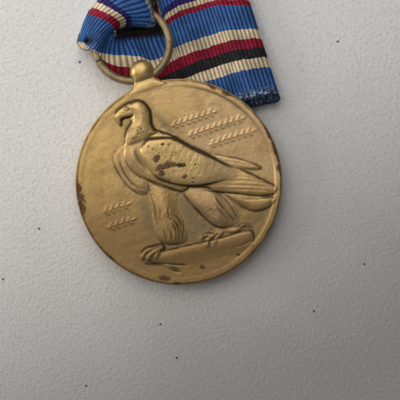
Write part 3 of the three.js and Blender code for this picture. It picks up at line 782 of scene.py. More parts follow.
class Nodes:
    """A material's node tree, with short calls for the nodes that the materials share."""

    def __init__(self, name):
        self.material = bpy.data.materials.new(name)
        self.material.use_nodes = True
        self.tree = self.material.node_tree
        self.shader = self.tree.nodes["Principled BSDF"]
        self.place = self.add("ShaderNodeTexCoord").outputs["Object"]

    def add(self, kind, **settings):
        node = self.tree.nodes.new(kind)
        for key, value in settings.items():
            setattr(node, key, value)
        return node

    def link(self, source, target):
        self.tree.links.new(source, target)

    def noise(self, per_mm, detail=4.0, roughness=0.55, place=None):
        """Noise with the given number of features in a millimetre."""
        node = self.add("ShaderNodeTexNoise")
        node.inputs["Scale"].default_value = per_mm / MM
        node.inputs["Detail"].default_value = detail
        node.inputs["Roughness"].default_value = roughness
        self.link(place or self.place, node.inputs["Vector"])
        return node.outputs["Fac"]

    def range(self, value, low, high, to_low=0.0, to_high=1.0):
        """Maps low to high onto the other two numbers, smoothly, and holds the ends."""
        node = self.add("ShaderNodeMapRange", interpolation_type="SMOOTHSTEP")
        self.link(value, node.inputs["Value"])
        for socket, number in zip(("From Min", "From Max", "To Min", "To Max"), (low, high, to_low, to_high)):
            node.inputs[socket].default_value = number
        return node.outputs["Result"]

    def math(self, operation, first, second):
        node = self.add("ShaderNodeMath", operation=operation)
        for socket, value in zip(node.inputs, (first, second)):
            if isinstance(value, (int, float)):
                socket.default_value = value
            else:
                self.link(value, socket)
        return node.outputs["Value"]

    def mix(self, factor, first, second):
        node = self.add("ShaderNodeMix", data_type="RGBA")
        self.link(factor, node.inputs["Factor"])
        for socket, value in zip((node.inputs["A"], node.inputs["B"]), (first, second)):
            if isinstance(value, tuple):
                socket.default_value = (*value, 1.0)
            else:
                self.link(value, socket)
        return node.outputs["Result"]

    def layer(self, mask, amount, under, over):
        """The colour over the other, in the given amount where the mask is 1."""
        return self.mix(self.math("MULTIPLY", mask, amount), under, over)

    def bump(self, height, distance, strength, normal=None):
        node = self.add("ShaderNodeBump")
        node.inputs["Distance"].default_value = distance
        node.inputs["Strength"].default_value = strength
        self.link(height, node.inputs["Height"])
        if normal is not None:
            self.link(normal, node.inputs["Normal"])
        return node.outputs["Normal"]

    def attribute(self, name):
        """The three channels of a painted colour attribute."""
        node = self.add("ShaderNodeAttribute", attribute_name=name)
        split = self.add("ShaderNodeSeparateColor")
        self.link(node.outputs["Color"], split.inputs["Color"])
        return split.outputs["Red"], split.outputs["Green"], split.outputs["Blue"]


GOLD = (0.80, 0.525, 0.195)
ROSE = (0.74, 0.50, 0.26)
BROWN = (0.47, 0.275, 0.09)
LOWER_SHADE_BROWN = (0.31, 0.185, 0.07)
GREEN_BROWN = (0.25, 0.19, 0.10)
# Near-black, for dark marks and for grime that includes painted shade.
GRIME_AND_SHADE = (0.035, 0.02, 0.008)
RUST = (0.13, 0.055, 0.035)
WORN_GOLD = (0.68, 0.49, 0.20)


def disc_bronze():
    """Gilt bronze: browned in patches, with painted shade darker towards its lower side, rubbed, dirty,
    rusted and tarnished.
    """
    n = Nodes("medal_bronze")
    grime_and_shade, rust, dark = n.attribute("tarnish_and_shade")
    rub, dirt_and_shade, lower_side_shade = n.attribute("rub")
    patch = n.range(n.noise(0.35, detail=6.0), 0.42, 0.72)
    speck = n.range(n.noise(3.2, detail=3.0), 0.60, 0.75)
    colour = n.mix(n.range(n.noise(0.09, detail=3.0), 0.35, 0.65), GOLD, ROSE)
    layers = (
        (patch, 0.55, BROWN), (lower_side_shade, 0.85, LOWER_SHADE_BROWN), (rub, 0.5, WORN_GOLD), (speck, 0.35, BROWN),
        (dirt_and_shade, 0.78, GREEN_BROWN), (rust, 0.85, RUST), (dark, 0.9, GRIME_AND_SHADE), (grime_and_shade, 0.88, GRIME_AND_SHADE),
    )
    for mask, amount, tint in layers:
        colour = n.layer(mask, amount, colour, tint)
    n.link(colour, n.shader.inputs["Base Color"])
    n.shader.inputs["Metallic"].default_value = 0.7
    tarnished = n.math("MAXIMUM", n.math("MAXIMUM", rust, dark), grime_and_shade)
    grain = n.range(n.noise(6.0), 0.3, 0.7, 0.36, 0.52)
    n.link(n.math("ADD", n.math("MULTIPLY", tarnished, 0.3), grain), n.shader.inputs["Roughness"])
    blast = n.bump(n.noise(9.0, detail=3.0), 0.02 * MM, 0.5)
    n.link(n.bump(n.noise(2.0, detail=3.0), 0.03 * MM, 0.35, blast), n.shader.inputs["Normal"])
    return n.material


# ---- The ribbon ----

# The ribbon is woven 34.9 mm wide. Its net holds points in the flat frame for the eleven lines
# below, which run along the ribbon, at stations that follow its length. It starts under the
# brooch's bar, turns round the bar, runs left under the ring's wire, bunches inside the ring,
# comes up over the wire, folds under at the left and runs back beneath itself.
RIBBON_WIDTH = 34.9
LINES = [0, 4.8, 8, 11.1, 15.9, 18, 21, 24, 26.2, 29, RIBBON_WIDTH]
FLAT_PLACES = [8.6, 13.5, 16.85, 20.1, 24.3, 26.0, 28.9, 31.8, 34.0, 36.8, 42.8]
RIB_PITCH = 0.63
ROWS_PER_RIB = 6
RIBBON_COLUMNS = 62
HALF_CLOTH = 0.17
LOWEST_CLOTH = 0.28
RIB_HEIGHT = 0.10
WARP_PITCH = 0.16

# The weave attribute holds millimetres across and along the ribbon, divided by this.
WEAVE_SCALE = 100.0

# The cloth's middle lies this far from the bar it turns round, and is hemmed this far past it.
CLOTH_CLEARANCE = 0.3
HEM = 0.35

# The fold at the left is this one of the gathered stations, and this many flat ones follow them.
FOLD_STATION = 12
STATIONS_BACK = 5


def level(z, places):
    """Points at one height."""
    return [(x, y, z) for x, y in places]


# Each gathered station has a point for each of the lines.
GATHERED_STATIONS = [
    # Just right of the ring: a crease above the middle, and the cloth beyond it dives.
    [(6.3, 8.8, 1.0), (6.3, 13.2, 1.0), (6.3, 16.7, 1.05), (6.3, 20.0, 1.1), (6.3, 23.9, 1.2),
     (6.3, 25.5, 1.35), (6.25, 28.3, 1.5), (6.1, 31.0, 1.5), (6.0, 33.4, 1.5), (6.0, 36.5, 1.4),
     (6.3, 42.6, 1.2)],
    [(4.9, 9.3, 0.9), (4.9, 13.4, 0.95), (4.9, 16.6, 1.0), (4.9, 19.7, 1.0), (5.1, 23.5, 0.9),
     (5.3, 24.6, 0.8), (5.2, 24.8, 0.6), (5.2, 25.1, 0.6), (5.2, 26.3, 0.65), (5.3, 28.6, 0.7),
     (5.6, 37.0, 0.8)],
    # Inside the ring, towards the left: the lower lines roll under along the ring's wire.
    [(3.3, 10.5, 0.9), (3.4, 13.6, 0.95), (3.5, 16.3, 1.05), (3.5, 19.2, 1.2), (3.4, 23.0, 1.0),
     (3.8, 24.0, 0.75), (4.2, 24.5, 0.6), (4.4, 25.0, 0.6), (4.5, 25.8, 0.6), (4.6, 27.5, 0.6),
     (4.9, 32.0, 0.6)],
    [(1.3, 12.0, 0.8), (1.3, 14.2, 0.9), (1.4, 16.4, 1.1), (1.3, 19.3, 1.3), (1.3, 23.2, 1.1),
     (1.8, 24.2, 0.75), (2.4, 24.7, 0.6), (2.9, 25.0, 0.6), (3.2, 25.5, 0.6), (3.5, 26.7, 0.6),
     (4.0, 30.0, 0.6)],
    [(0.6, 13.2, 0.6), (0.3, 15.0, 0.8), (0.1, 17.2, 1.2), (0.2, 20.2, 1.7), (0.1, 23.6, 1.3),
     (0.6, 24.4, 0.8), (1.4, 24.8, 0.65), (2.1, 25.0, 0.6), (2.6, 25.3, 0.6), (3.1, 26.2, 0.6),
     (3.7, 28.8, 0.6)],
    [(0.2, 19.5, 0.5), (-1.2, 18.4, 0.7), (-1.7, 17.7, 1.4), (-1.4, 20.9, 2.0), (-1.4, 24.0, 1.7),
     (-0.7, 24.6, 1.1), (0.3, 24.8, 0.8), (1.2, 25.0, 0.8), (1.8, 25.2, 0.8), (2.4, 25.8, 0.8),
     (3.2, 27.5, 0.8)],
    [(-1.5, 22.0, 0.8), (-3.0, 20.0, 1.0), (-3.8, 18.75, 1.8), (-3.3, 21.55, 2.5), (-2.0, 24.8, 2.4),
     (-1.4, 25.1, 1.6), (-0.4, 25.2, 1.2), (0.8, 25.3, 1.1), (1.3, 25.1, 1.1), (2.1, 25.4, 1.1),
     (3.0, 26.6, 1.1)],
    [(-2.6, 22.8, 1.5), (-4.2, 21.6, 1.8), (-5.35, 20.7, 2.5), (-5.0, 22.3, 3.1), (-2.35, 25.3, 3.2),
     (-1.2, 25.4, 2.3), (0.6, 25.1, 1.8), (2.4, 24.6, 1.6), (3.1, 24.7, 1.5), (3.6, 25.3, 1.4),
     (4.0, 26.8, 1.3)],
    # The lip, where the cloth comes up, and the front piece that lies over the wire.
    [(-2.0, 25.5, 3.6), (-4.0, 24.6, 3.7), (-5.5, 23.7, 3.8), (-6.05, 23.05, 4.2), (-2.55, 25.5, 4.1),
     (-0.4, 25.75, 3.7), (2.0, 24.95, 3.4), (3.8, 24.2, 2.9), (4.1, 24.9, 2.2), (4.3, 26.0, 1.7),
     (4.5, 27.6, 1.4)],
    [(-2.5, 26.3, 4.0), (-4.6, 25.5, 4.0), (-7.0, 23.85, 3.5), (-6.75, 23.8, 4.1), (-2.55, 26.1, 4.8),
     (-0.3, 26.6, 4.7), (2.2, 26.1, 4.4), (3.7, 26.0, 3.8), (4.2, 26.8, 2.8), (4.5, 28.0, 1.9),
     (4.9, 30.0, 1.4)],
    [(-3.2, 27.6, 4.0), (-5.4, 26.3, 3.8), (-7.95, 24.35, 2.9), (-7.3, 24.4, 3.5), (-3.4, 27.0, 5.0),
     (-1.2, 27.7, 5.1), (1.2, 27.8, 4.9), (3.6, 27.9, 4.1), (4.2, 28.6, 3.0), (4.7, 30.0, 2.1),
     (5.3, 33.0, 1.5)],
    [(-4.4, 29.0, 3.2), (-6.4, 27.0, 3.0), (-8.25, 25.0, 2.3), (-7.8, 25.1, 2.8), (-4.6, 28.1, 4.3),
     (-2.5, 29.2, 4.7), (0.0, 30.2, 4.7), (2.6, 30.6, 4.0), (3.8, 31.4, 3.0), (4.9, 33.0, 2.2),
     (6.5, 36.5, 1.6)],
    # The fold at the left, and the way back underneath.
    [(-5.0, 29.4, 2.2), (-6.8, 27.4, 2.0), (-7.95, 25.9, 1.8), (-8.25, 25.2, 1.9), (-5.5, 28.8, 2.9),
     (-3.6, 30.2, 3.2), (-1.3, 32.0, 3.2), (1.2, 33.2, 2.9), (3.0, 34.2, 2.4), (5.2, 35.8, 2.0),
     (9.0, 39.5, 1.5)],
    [(-4.4, 28.4, 1.1), (-6.2, 26.6, 1.0), (-7.4, 25.5, 1.0), (-7.7, 25.0, 1.1), (-5.2, 28.3, 1.5),
     (-3.3, 29.8, 1.7), (-1.0, 31.7, 1.7), (1.5, 32.9, 1.6), (3.3, 34.0, 1.4), (5.4, 35.6, 1.2),
     (9.2, 39.4, 1.0)],
    [(-3.8, 21.5, 0.4), (-4.8, 23.0, 0.4), (-4.9, 24.2, 0.4), (-4.8, 25.2, 0.45), (-3.4, 27.6, 0.6),
     (-2.0, 29.0, 0.7), (0.0, 30.8, 0.7), (2.2, 32.4, 0.7), (3.8, 33.8, 0.6), (5.6, 35.6, 0.5),
     (9.0, 39.8, 0.4)],
    level(0.3, [(-0.4, 17.8), (-0.6, 20.0), (-0.6, 21.8), (-0.4, 23.4), (0.2, 26.2), (0.6, 27.6),
        (1.4, 29.6), (2.4, 31.8), (3.2, 33.6), (4.4, 36.0), (7.2, 41.0)]),
    level(0.25, [(2.6, 12.2), (2.8, 15.6), (2.8, 18.2), (2.8, 20.8), (3.0, 24.8), (3.2, 26.4), (3.4, 29.0),
        (3.8, 31.8), (4.2, 33.8), (4.8, 36.6), (6.4, 42.2)]),
]


def panel_station(x, z, shift=0.0):
    """A station across the flat part of the ribbon: its stripes sag a little towards the brooch."""
    deepest = np.interp(LINES, [0, 5, 16, 35], [0.7, 0.9, 2.0, 1.2])
    places = np.array(FLAT_PLACES) + shift - smoothstep(12.5, 20.5, x) * deepest
    return np.column_stack([np.full(len(LINES), x), places, np.full(len(LINES), z)])


def ribbon_stations():
    """All the stations: under the bar, round it, over it, through the ring and back under the bar."""
    bar_low, bar_high = (np.array(corner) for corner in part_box("brooch_bar"))
    to_flat = np.array(FLAT.inverted())
    bar_left = (to_flat @ [*bar_low, 1])[0]
    bar_right = (to_flat @ [*bar_high, 1])[0]
    over = bar_high[2] / MM + CLOTH_CLEARANCE
    below = bar_low[2] / MM - CLOTH_CLEARANCE
    radius = (over - below) / 2
    seam = bar_left + HEM
    stations = [panel_station(seam, below, -1.1), panel_station((seam + bar_right) / 2, below, -1.0)]
    for angle in np.radians([-90, -45, 0, 45, 90]):
        x = bar_right + radius * math.cos(angle)
        z = below + radius * (1 + math.sin(angle))
        stations.append(panel_station(x, z, 0.5 * math.sin(angle) - 0.5))
    stations.append(panel_station((bar_left + bar_right) / 2, over))
    stations.append(panel_station(bar_left - HEM, over))
    for x, z in ((13.3, 2.0), (11.8, 1.35), (10.0, 1.2), (8.0, 1.1)):
        stations.append(panel_station(x, z))
    stations.extend(np.array(station) for station in GATHERED_STATIONS)
    for x, z, shift in ((6.5, 0.25, -0.3), (9.5, 0.25, -0.5), (12.0, 0.27, -0.7), (13.4, 0.9, -0.9)):
        stations.append(panel_station(x, z, shift))
    stations.append(panel_station(seam - 0.08, below, -1.1))
    return np.array(stations)


def smooth_through(knots, values, where):
    """Values at the places where, on a smooth curve that passes through the values at the knots."""
    knots = np.asarray(knots, dtype=float)
    slopes = np.gradient(values, knots, axis=0)
    span = np.clip(np.searchsorted(knots, where, side="right") - 1, 0, len(knots) - 2)
    shape = (-1,) + (1,) * (values.ndim - 1)
    width = (knots[span + 1] - knots[span]).reshape(shape)
    t = (where - knots[span]).reshape(shape) / width
    rest = 1 - t
    return (values[span] * rest ** 2 * (1 + 2 * t) + values[span + 1] * t ** 2 * (3 - 2 * t)
            + slopes[span] * width * t * rest ** 2 - slopes[span + 1] * width * t ** 2 * rest)


def thick_sheet(name, top, bottom, keep, place):
    """A closed sheet between two grids of points; keep says which cells of the grid exist."""
    rows, columns = top.shape[:2]
    index = np.arange(rows * columns).reshape(rows, columns)
    below = rows * columns
    corners = np.stack([index[:-1, :-1], index[:-1, 1:], index[1:, 1:], index[1:, :-1]], axis=-1)[keep]
    faces = corners.tolist() + (corners[:, ::-1] + below).tolist()
    sides = np.concatenate([corners[:, [k, (k + 1) % 4]] for k in range(4)])
    directed = set(map(tuple, sides.tolist()))
    for start, end in sides.tolist():
        if (end, start) not in directed:
            faces.append([end, start, start + below, end + below])
    points = np.vstack([top.reshape(-1, 3), bottom.reshape(-1, 3)])
    return add_mesh(name, points, faces, place)


# Painted shade in folds too deep for light: a path along each, its reach, and the height it lies below.
FOLD_HOLLOWS = [
    ([(-2.4, 24.7), (0.0, 24.3), (2.2, 23.9), (4.6, 23.3)], 1.5, 3.3),
    ([(3.9, 24.8), (4.1, 26.5), (4.4, 28.5), (5.2, 31.5)], 0.7, 3.6),
    ([(5.1, 28.2), (5.6, 31.5)], 0.9, 3.6),
    ([(-6.8, 24.95), (-6.35, 24.85)], 0.85, 9.0),
]
# Where the weave is rubbed into loose pale threads: a path and its reach.
FRAYED_PATHS = [
    ([(2.6, 24.3), (3.7, 24.2), (3.9, 26.4), (4.0, 28.4)], 0.45),
    ([(-7.2, 23.9), (-6.8, 23.6), (-6.2, 23.8)], 0.35),
]


def painted_fold_shade(points):
    """Painted shade: 1 deep inside a fold, 0 in the open."""
    total = np.zeros(points.shape[:2])
    for path, reach, below in FOLD_HOLLOWS:
        gap, _ = distance_to(path, points[..., 0], points[..., 1])
        deep = smoothstep(reach, 0.45 * reach, gap) * smoothstep(below, below - 0.6, points[..., 2])
        total = np.maximum(total, deep)
    return total


def frayed_edges(points):
    """1 along the frayed paths, on the cloth that lies high enough to be rubbed."""
    total = np.zeros(points.shape[:2])
    for path, reach in FRAYED_PATHS:
        gap, _ = distance_to(path, points[..., 0], points[..., 1])
        total = np.maximum(total, smoothstep(reach, 0.3 * reach, gap) * (points[..., 2] > 2.4))
    return total


def cloth_normals(middle):
    """Unit normals over the grid of the cloth's middle, pointing down on its upper layer."""
    normal = np.cross(np.gradient(middle, axis=0), np.gradient(middle, axis=1))
    return normal / (np.linalg.norm(normal, axis=2, keepdims=True) + 1e-9)


def clear_of_blocks(middle):
    """Which cells of the cloth stay: it is slit where the hinge and the catch come through."""
    to_world = np.array(FLAT)
    centres = (middle[:-1, :-1] + middle[1:, 1:]) / 2
    world = centres @ to_world[:3, :3].T + to_world[:3, 3]
    margin = 0.3 * MM
    keep = np.ones(centres.shape[:2], dtype=bool)
    for node in ("hinge_block", "catch_block"):
        low, high = (np.array(corner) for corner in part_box(node))
        keep &= ~np.all((world > low - margin) & (world < high + margin), axis=2)
    return keep


def build_ribbon():
    """The whole ribbon as one ribbed sheet. Returns it with its length."""
    across_fine = np.linspace(0, RIBBON_WIDTH, RIBBON_COLUMNS)
    stations = ribbon_stations()
    middle_lines = slice(2, 8)
    steps = np.linalg.norm(np.diff(stations, axis=0), axis=2)[:, middle_lines].mean(axis=1)
    lengths = np.concatenate([[0], np.cumsum(steps)])
    ribs = round(lengths[-1] / RIB_PITCH)
    along_fine = np.linspace(0, lengths[-1], ribs * ROWS_PER_RIB + 1)
    net = np.array([smooth_through(LINES, station, across_fine) for station in stations])
    middle = smooth_through(lengths, net, along_fine)

    # Worn cloth is never flat: slow waves, and the dimple beside the left fold.
    middle[..., 2] += 0.05 * noise(middle[..., 0], middle[..., 1], 2.6, 41) * (middle[..., 2] > 0.8)
    from_dimple = np.hypot(middle[..., 0] + 6.85, middle[..., 1] - 25.0) / 0.45
    middle[..., 2] -= 1.3 * np.exp(-from_dimple ** 2) * (middle[..., 2] > 3)
    middle[..., 2] = np.maximum(middle[..., 2], LOWEST_CLOTH)

    rib_number = along_fine[:, None] / RIB_PITCH
    bulge = np.abs(np.sin(np.pi * (rib_number - np.floor(rib_number))))
    uneven = 1 + 0.25 * noise(rib_number, across_fine[None, :] / 3, 1.0, 42)
    rise = (HALF_CLOTH + RIB_HEIGHT * (bulge * uneven - 0.4))[..., None] * cloth_normals(middle)
    piece = thick_sheet("ribbon_cloth", middle - rise, middle + rise, clear_of_blocks(middle), FLAT)

    weave = np.zeros(middle.shape)
    weave[..., 0] = across_fine[None, :] / WEAVE_SCALE
    weave[..., 1] = along_fine[:, None] / WEAVE_SCALE
    fold = len(stations) - STATIONS_BACK - len(GATHERED_STATIONS) + FOLD_STATION
    upper_layer = (along_fine < lengths[fold])[:, None]
    # The first channel is painted shade inside the folds of the upper layer, the second the frayed threads.
    fold_shade_and_fraying = np.stack([painted_fold_shade(middle) * upper_layer, frayed_edges(middle)], axis=-1)
    paint(piece, "weave", np.vstack([weave.reshape(-1, 3)] * 2))
    paint(piece, "fold_shade_and_fraying", np.vstack([fold_shade_and_fraying.reshape(-1, 2)] * 2))
    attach(piece, "ribbon_and_brooch")
    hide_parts("ribbon")
    return piece, lengths[-1]


# Where each stripe starts, across the ribbon, in millimetres.
STRIPES = [
    (0.0, "blue"), (4.76, "cream"), (6.35, "black"), (7.94, "red"), (9.53, "cream"), (11.11, "blue"),
    (15.88, "red"), (16.93, "cream"), (17.99, "navy"), (19.05, "blue"), (23.81, "cream"), (25.4, "red"),
    (26.99, "black"), (28.58, "cream"), (30.16, "blue"),
]
THREAD_COLOURS = {
    "blue": (0.035, 0.13, 0.35), "cream": (0.70, 0.60, 0.44), "red": (0.31, 0.0, 0.028),
    "black": (0.012, 0.012, 0.016), "navy": (0.02, 0.012, 0.14),
}
# Painted shade: much darker copies of the thread colours, for the grooves between the ribs.
SHADED_GROOVE_COLOURS = {
    "blue": (0.006, 0.018, 0.10), "cream": (0.30, 0.20, 0.10), "red": (0.10, 0.0, 0.006),
    "black": (0.003, 0.003, 0.004), "navy": (0.003, 0.002, 0.03),
}


LINT = (0.40, 0.45, 0.52)
SELVEDGE = (0.015, 0.04, 0.09)
WEFT_LOOP = (0.42, 0.52, 0.66)
EDGE_SHADE = (0.006, 0.012, 0.03)
FOLD_SHADE = (0.003, 0.002, 0.003)


def stripe_ramp(n, place, colours):
    """The stripes in one set of colours; place runs from 0 to 1 across the ribbon."""
    ramp = n.add("ShaderNodeValToRGB")
    stops = ramp.color_ramp
    stops.interpolation = "CONSTANT"
    stops.elements[0].color = (*colours[STRIPES[0][1]], 1)
    stops.elements.remove(stops.elements[1])
    for start, colour in STRIPES[1:]:
        stops.elements.new(start / RIBBON_WIDTH).color = (*colours[colour], 1)
    n.link(place, ramp.inputs["Fac"])
    return ramp.outputs["Color"]


def ribbon_weave():
    """Warp stripes across the ribbon, with the weft's ribs, painted shade in their grooves, and the fine
    threads over them.
    """
    n = Nodes("ribbon_cloth")
    across, along, _ = n.attribute("weave")
    fold_shade_mask, frayed, _ = n.attribute("fold_shade_and_fraying")
    across = n.math("MULTIPLY", across, WEAVE_SCALE)
    along = n.math("MULTIPLY", along, WEAVE_SCALE)
    ribs = n.math("DIVIDE", along, RIB_PITCH)

    # Each rib shifts the stripes' edges a little, because the warp threads weave over and under.
    jitter_place = n.add("ShaderNodeCombineXYZ")
    n.link(n.math("FLOOR", ribs, 0.0), jitter_place.inputs["X"])
    warp_group = n.math("FLOOR", n.math("MULTIPLY", across, 0.6), 0.0)
    n.link(n.math("MULTIPLY", warp_group, 7.3), jitter_place.inputs["Y"])
    random = n.add("ShaderNodeTexWhiteNoise", noise_dimensions="2D")
    n.link(jitter_place.outputs["Vector"], random.inputs["Vector"])
    jitter = n.math("MULTIPLY", n.math("SUBTRACT", random.outputs["Value"], 0.5), 0.14)
    place = n.math("DIVIDE", n.math("ADD", across, jitter), RIBBON_WIDTH)

    crest = n.math("SINE", n.math("MULTIPLY", n.math("FRACT", ribs, 0.0), math.pi), 0.0)
    threads = n.math("SINE", n.math("MULTIPLY", across, 2 * math.pi / WARP_PITCH), 0.0)
    body = n.range(n.math("ADD", crest, n.math("MULTIPLY", threads, 0.05)), 0.22, 1.0)
    # The grooves take the shaded copies and the crests the thread colours: painted shade between the ribs.
    colour = n.mix(body, stripe_ramp(n, place, SHADED_GROOVE_COLOURS), stripe_ramp(n, place, THREAD_COLOURS))

    # Fading along the length.
    bright = n.add("ShaderNodeHueSaturation")
    n.link(n.range(n.noise(0.35, detail=5.0), 0.3, 0.7, 0.70, 1.35), bright.inputs["Value"])
    n.link(colour, bright.inputs["Color"])

    # Lint, the pale loops of weft along the dark selvedge, painted shade at the outermost edge and painted
    # shade inside the folds.
    lint = n.range(n.noise(3.2, detail=2.0), 0.63, 0.72)
    edge = n.math("MAXIMUM", n.range(across, 1.9, 0.9), frayed)
    loops = n.math("MULTIPLY", edge, n.range(n.noise(3.0, detail=3.0), 0.51, 0.58))
    # Painted shade: the outermost strip of the edge where across is 0 is painted nearly black.
    outermost = n.range(across, 0.85, 0.35)
    colour = bright.outputs["Color"]
    layers = (
        (lint, 0.22, LINT), (edge, 0.65, SELVEDGE), (loops, 0.85, WEFT_LOOP), (outermost, 0.8, EDGE_SHADE),
        (fold_shade_mask, 0.96, FOLD_SHADE),
    )
    for mask, amount, tint in layers:
        colour = n.layer(mask, amount, colour, tint)
    n.link(colour, n.shader.inputs["Base Color"])
    gloss = {"Roughness": 0.62, "Sheen Weight": 0.12, "Sheen Roughness": 0.4, "Specular IOR Level": 0.2}
    for socket, amount in gloss.items():
        n.shader.inputs[socket].default_value = amount
    height = n.math("ADD", n.math("MULTIPLY", threads, 0.5), n.noise(8.0, detail=2.0))
    n.link(n.bump(height, 0.02 * MM, 0.7), n.shader.inputs["Normal"])
    return n.material


# ---- The knob and the ring ----

def lofted(name, sections, place):
    """A closed body through rings of points, each end capped with a fan."""
    rows, columns = len(sections), len(sections[0])
    points = np.vstack([np.vstack(sections), sections[0].mean(axis=0), sections[-1].mean(axis=0)])
    faces = tube_faces(rows, columns)
    first, last = rows * columns, rows * columns + 1
    for column in range(columns):
        beside = (column + 1) % columns
        faces.append((first, beside, column))
        faces.append((last, (rows - 1) * columns + column, (rows - 1) * columns + beside))
    return add_mesh(name, points, faces, place)


BALL_RADIUS = 1.92
BALL_PLACE = 17.95
BALL_FLATTENING = 0.76
KNOB_SHIFT = -0.24
NECK_END = 17.6
# The neck, from inside the disc's rim to the ball: its half-width and half-depth at each place.
NECK_PLACES = [15.2, 15.6, 16.0, 16.4, 16.9, 17.4, 18.0]
NECK_WIDTHS = [3.6, 2.9, 2.3, 1.95, 1.8, 1.8, 1.8]
NECK_DEPTHS = [1.22, 1.23, 1.2, 1.14, 1.1, 1.1, 1.1]
# The drill that cuts the cross hole with its softened mouths: X and radius at each step.
DRILL = [
    (-3.6, 0.95), (-1.8, 0.9), (-1.5, KNOB_HOLE_RADIUS), (1.1, KNOB_HOLE_RADIUS), (1.4, 0.9), (3.2, 0.95),
]


def knob_section(y, around):
    """A ring of points across the knob: a blunt oval in the neck, almost an ellipse in the ball."""
    ball = BALL_RADIUS * math.sqrt(max(1 - ((y - BALL_PLACE) / BALL_RADIUS) ** 2, 0))
    width, depth = ball, BALL_FLATTENING * ball
    if y < NECK_END:
        width = max(width, np.interp(y, NECK_PLACES, NECK_WIDTHS))
        depth = max(depth, np.interp(y, NECK_PLACES, NECK_DEPTHS))
    bluntness = np.interp(y, [15.2, 16.6, NECK_END], [0.45, 0.5, 0.95])
    cosine, sine = np.cos(around), np.sin(around)
    x = KNOB_SHIFT + width * np.sign(cosine) * np.abs(cosine) ** bluntness
    z = DISC_THICKNESS / 2 + depth * np.sign(sine) * np.abs(sine) ** bluntness
    return np.column_stack([x, np.full(len(around), y), z])


def drilled(body, drill):
    """The body's mesh with the drill's shape cut out. The drill is removed."""
    cut = body.modifiers.new("hole", "BOOLEAN")
    cut.operation = "DIFFERENCE"
    cut.object = drill
    bpy.context.view_layer.update()
    mesh = bpy.data.meshes.new_from_object(body.evaluated_get(bpy.context.evaluated_depsgraph_get()))
    body.modifiers.clear()
    bpy.data.objects.remove(drill)
    return mesh


def build_knob():
    """A flattened ball on a flared neck that runs into the disc's rim, with a hole from side to side."""
    steps = 40
    around = np.linspace(0, 2 * math.pi, 72, endpoint=False)
    places = np.concatenate([
        np.linspace(NECK_PLACES[0], NECK_END, steps, endpoint=False),
        BALL_PLACE + BALL_RADIUS * np.sin(np.linspace(-0.29, 1.54, steps)),
    ])
    sections = np.array([knob_section(y, around) for y in places])
    for _ in range(2):
        sections[1:-1] = (sections[:-2] + 2 * sections[1:-1] + sections[2:]) / 4

    # The hole is cut at millimetre scale, where the boolean is exact.
    knob = lofted("knob", list(sections[:, ::-1]), Matrix.Identity(4))
    around = np.linspace(0, 2 * math.pi, 48, endpoint=False)
    bores = [np.column_stack([
        np.full(len(around), x),
        HOLE_PLACE.y + radius * np.cos(around),
        HOLE_PLACE.z + radius * np.sin(around),
    ]) for x, radius in DRILL]
    mesh = drilled(knob, lofted("drill", bores, Matrix.Identity(4)))
    mesh.transform(MEDAL)
    mesh.polygons.foreach_set("use_smooth", [True] * len(mesh.polygons))
    knob.data = mesh
    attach(knob, "medal")
    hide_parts("suspension_knob")
    return knob


RING_SEGMENTS = 300
WIRE_SIDES = 28
HALF_SPLIT = 0.09
END_OFFSET = 0.05
END_LIFT = 0.06


def build_ring():
    """Round wire bent to a circle. Its cut ends don't quite meet in line."""
    half_gap = math.degrees(HALF_SPLIT / RING_RADIUS)
    split_end = RING_SPLIT_ANGLE + 360
    turns = np.radians(np.linspace(RING_SPLIT_ANGLE + half_gap, split_end - half_gap, RING_SEGMENTS))
    around = np.linspace(0, 2 * math.pi, WIRE_SIDES, endpoint=False)
    sections = []
    for number, turn in enumerate(turns):
        steps_from_end = min(number, RING_SEGMENTS - 1 - number)
        near_end = math.exp(-(steps_from_end / RING_SEGMENTS / 0.02) ** 2)
        side = 1 if number < RING_SEGMENTS / 2 else -1
        radius = RING_RADIUS + END_OFFSET * near_end * side + 0.03 * math.sin(2 * turn + 0.6)
        lift = END_LIFT * near_end * side
        past_cut = min(steps_from_end / 3.0, 1)
        wire = WIRE_RADIUS * (0.88 + 0.12 * math.sqrt(1 - (1 - past_cut) ** 2))
        wire *= 1 + 0.008 * math.sin(9 * turn) + 0.006 * math.sin(23 * turn + 1)
        outward = radius + wire * np.cos(around)
        sections.append(np.column_stack([
            outward * math.cos(turn), outward * math.sin(turn), lift + wire * np.sin(around),
        ]))
    ring = lofted("ring", [section[::-1] for section in sections], RING)
    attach(ring, "ring")
    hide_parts("suspension_ring")
    return ring


def worn_metal(name, colour, shade, stain, roughness, scratch=0.4, metallic=0.95):
    """Handled metal: a mottled tone, dark stains, and fine scratches in its gloss."""
    n = Nodes(name)
    tone = n.mix(n.range(n.noise(0.5, detail=5.0), 0.35, 0.68), colour, shade)
    stained = n.range(n.noise(1.3, detail=6.0, roughness=0.65), 0.58, 0.74)
    n.link(n.layer(stained, 0.7, tone, stain), n.shader.inputs["Base Color"])
    n.shader.inputs["Metallic"].default_value = metallic
    fine = n.range(n.noise(7.0), 0.3, 0.7, roughness - 0.07, roughness + 0.1)
    n.link(n.math("ADD", fine, n.math("MULTIPLY", stained, 0.2)), n.shader.inputs["Roughness"])
    n.link(n.bump(n.noise(3.0, detail=6.0, roughness=0.7), 0.02 * MM, scratch), n.shader.inputs["Normal"])
    return n.material


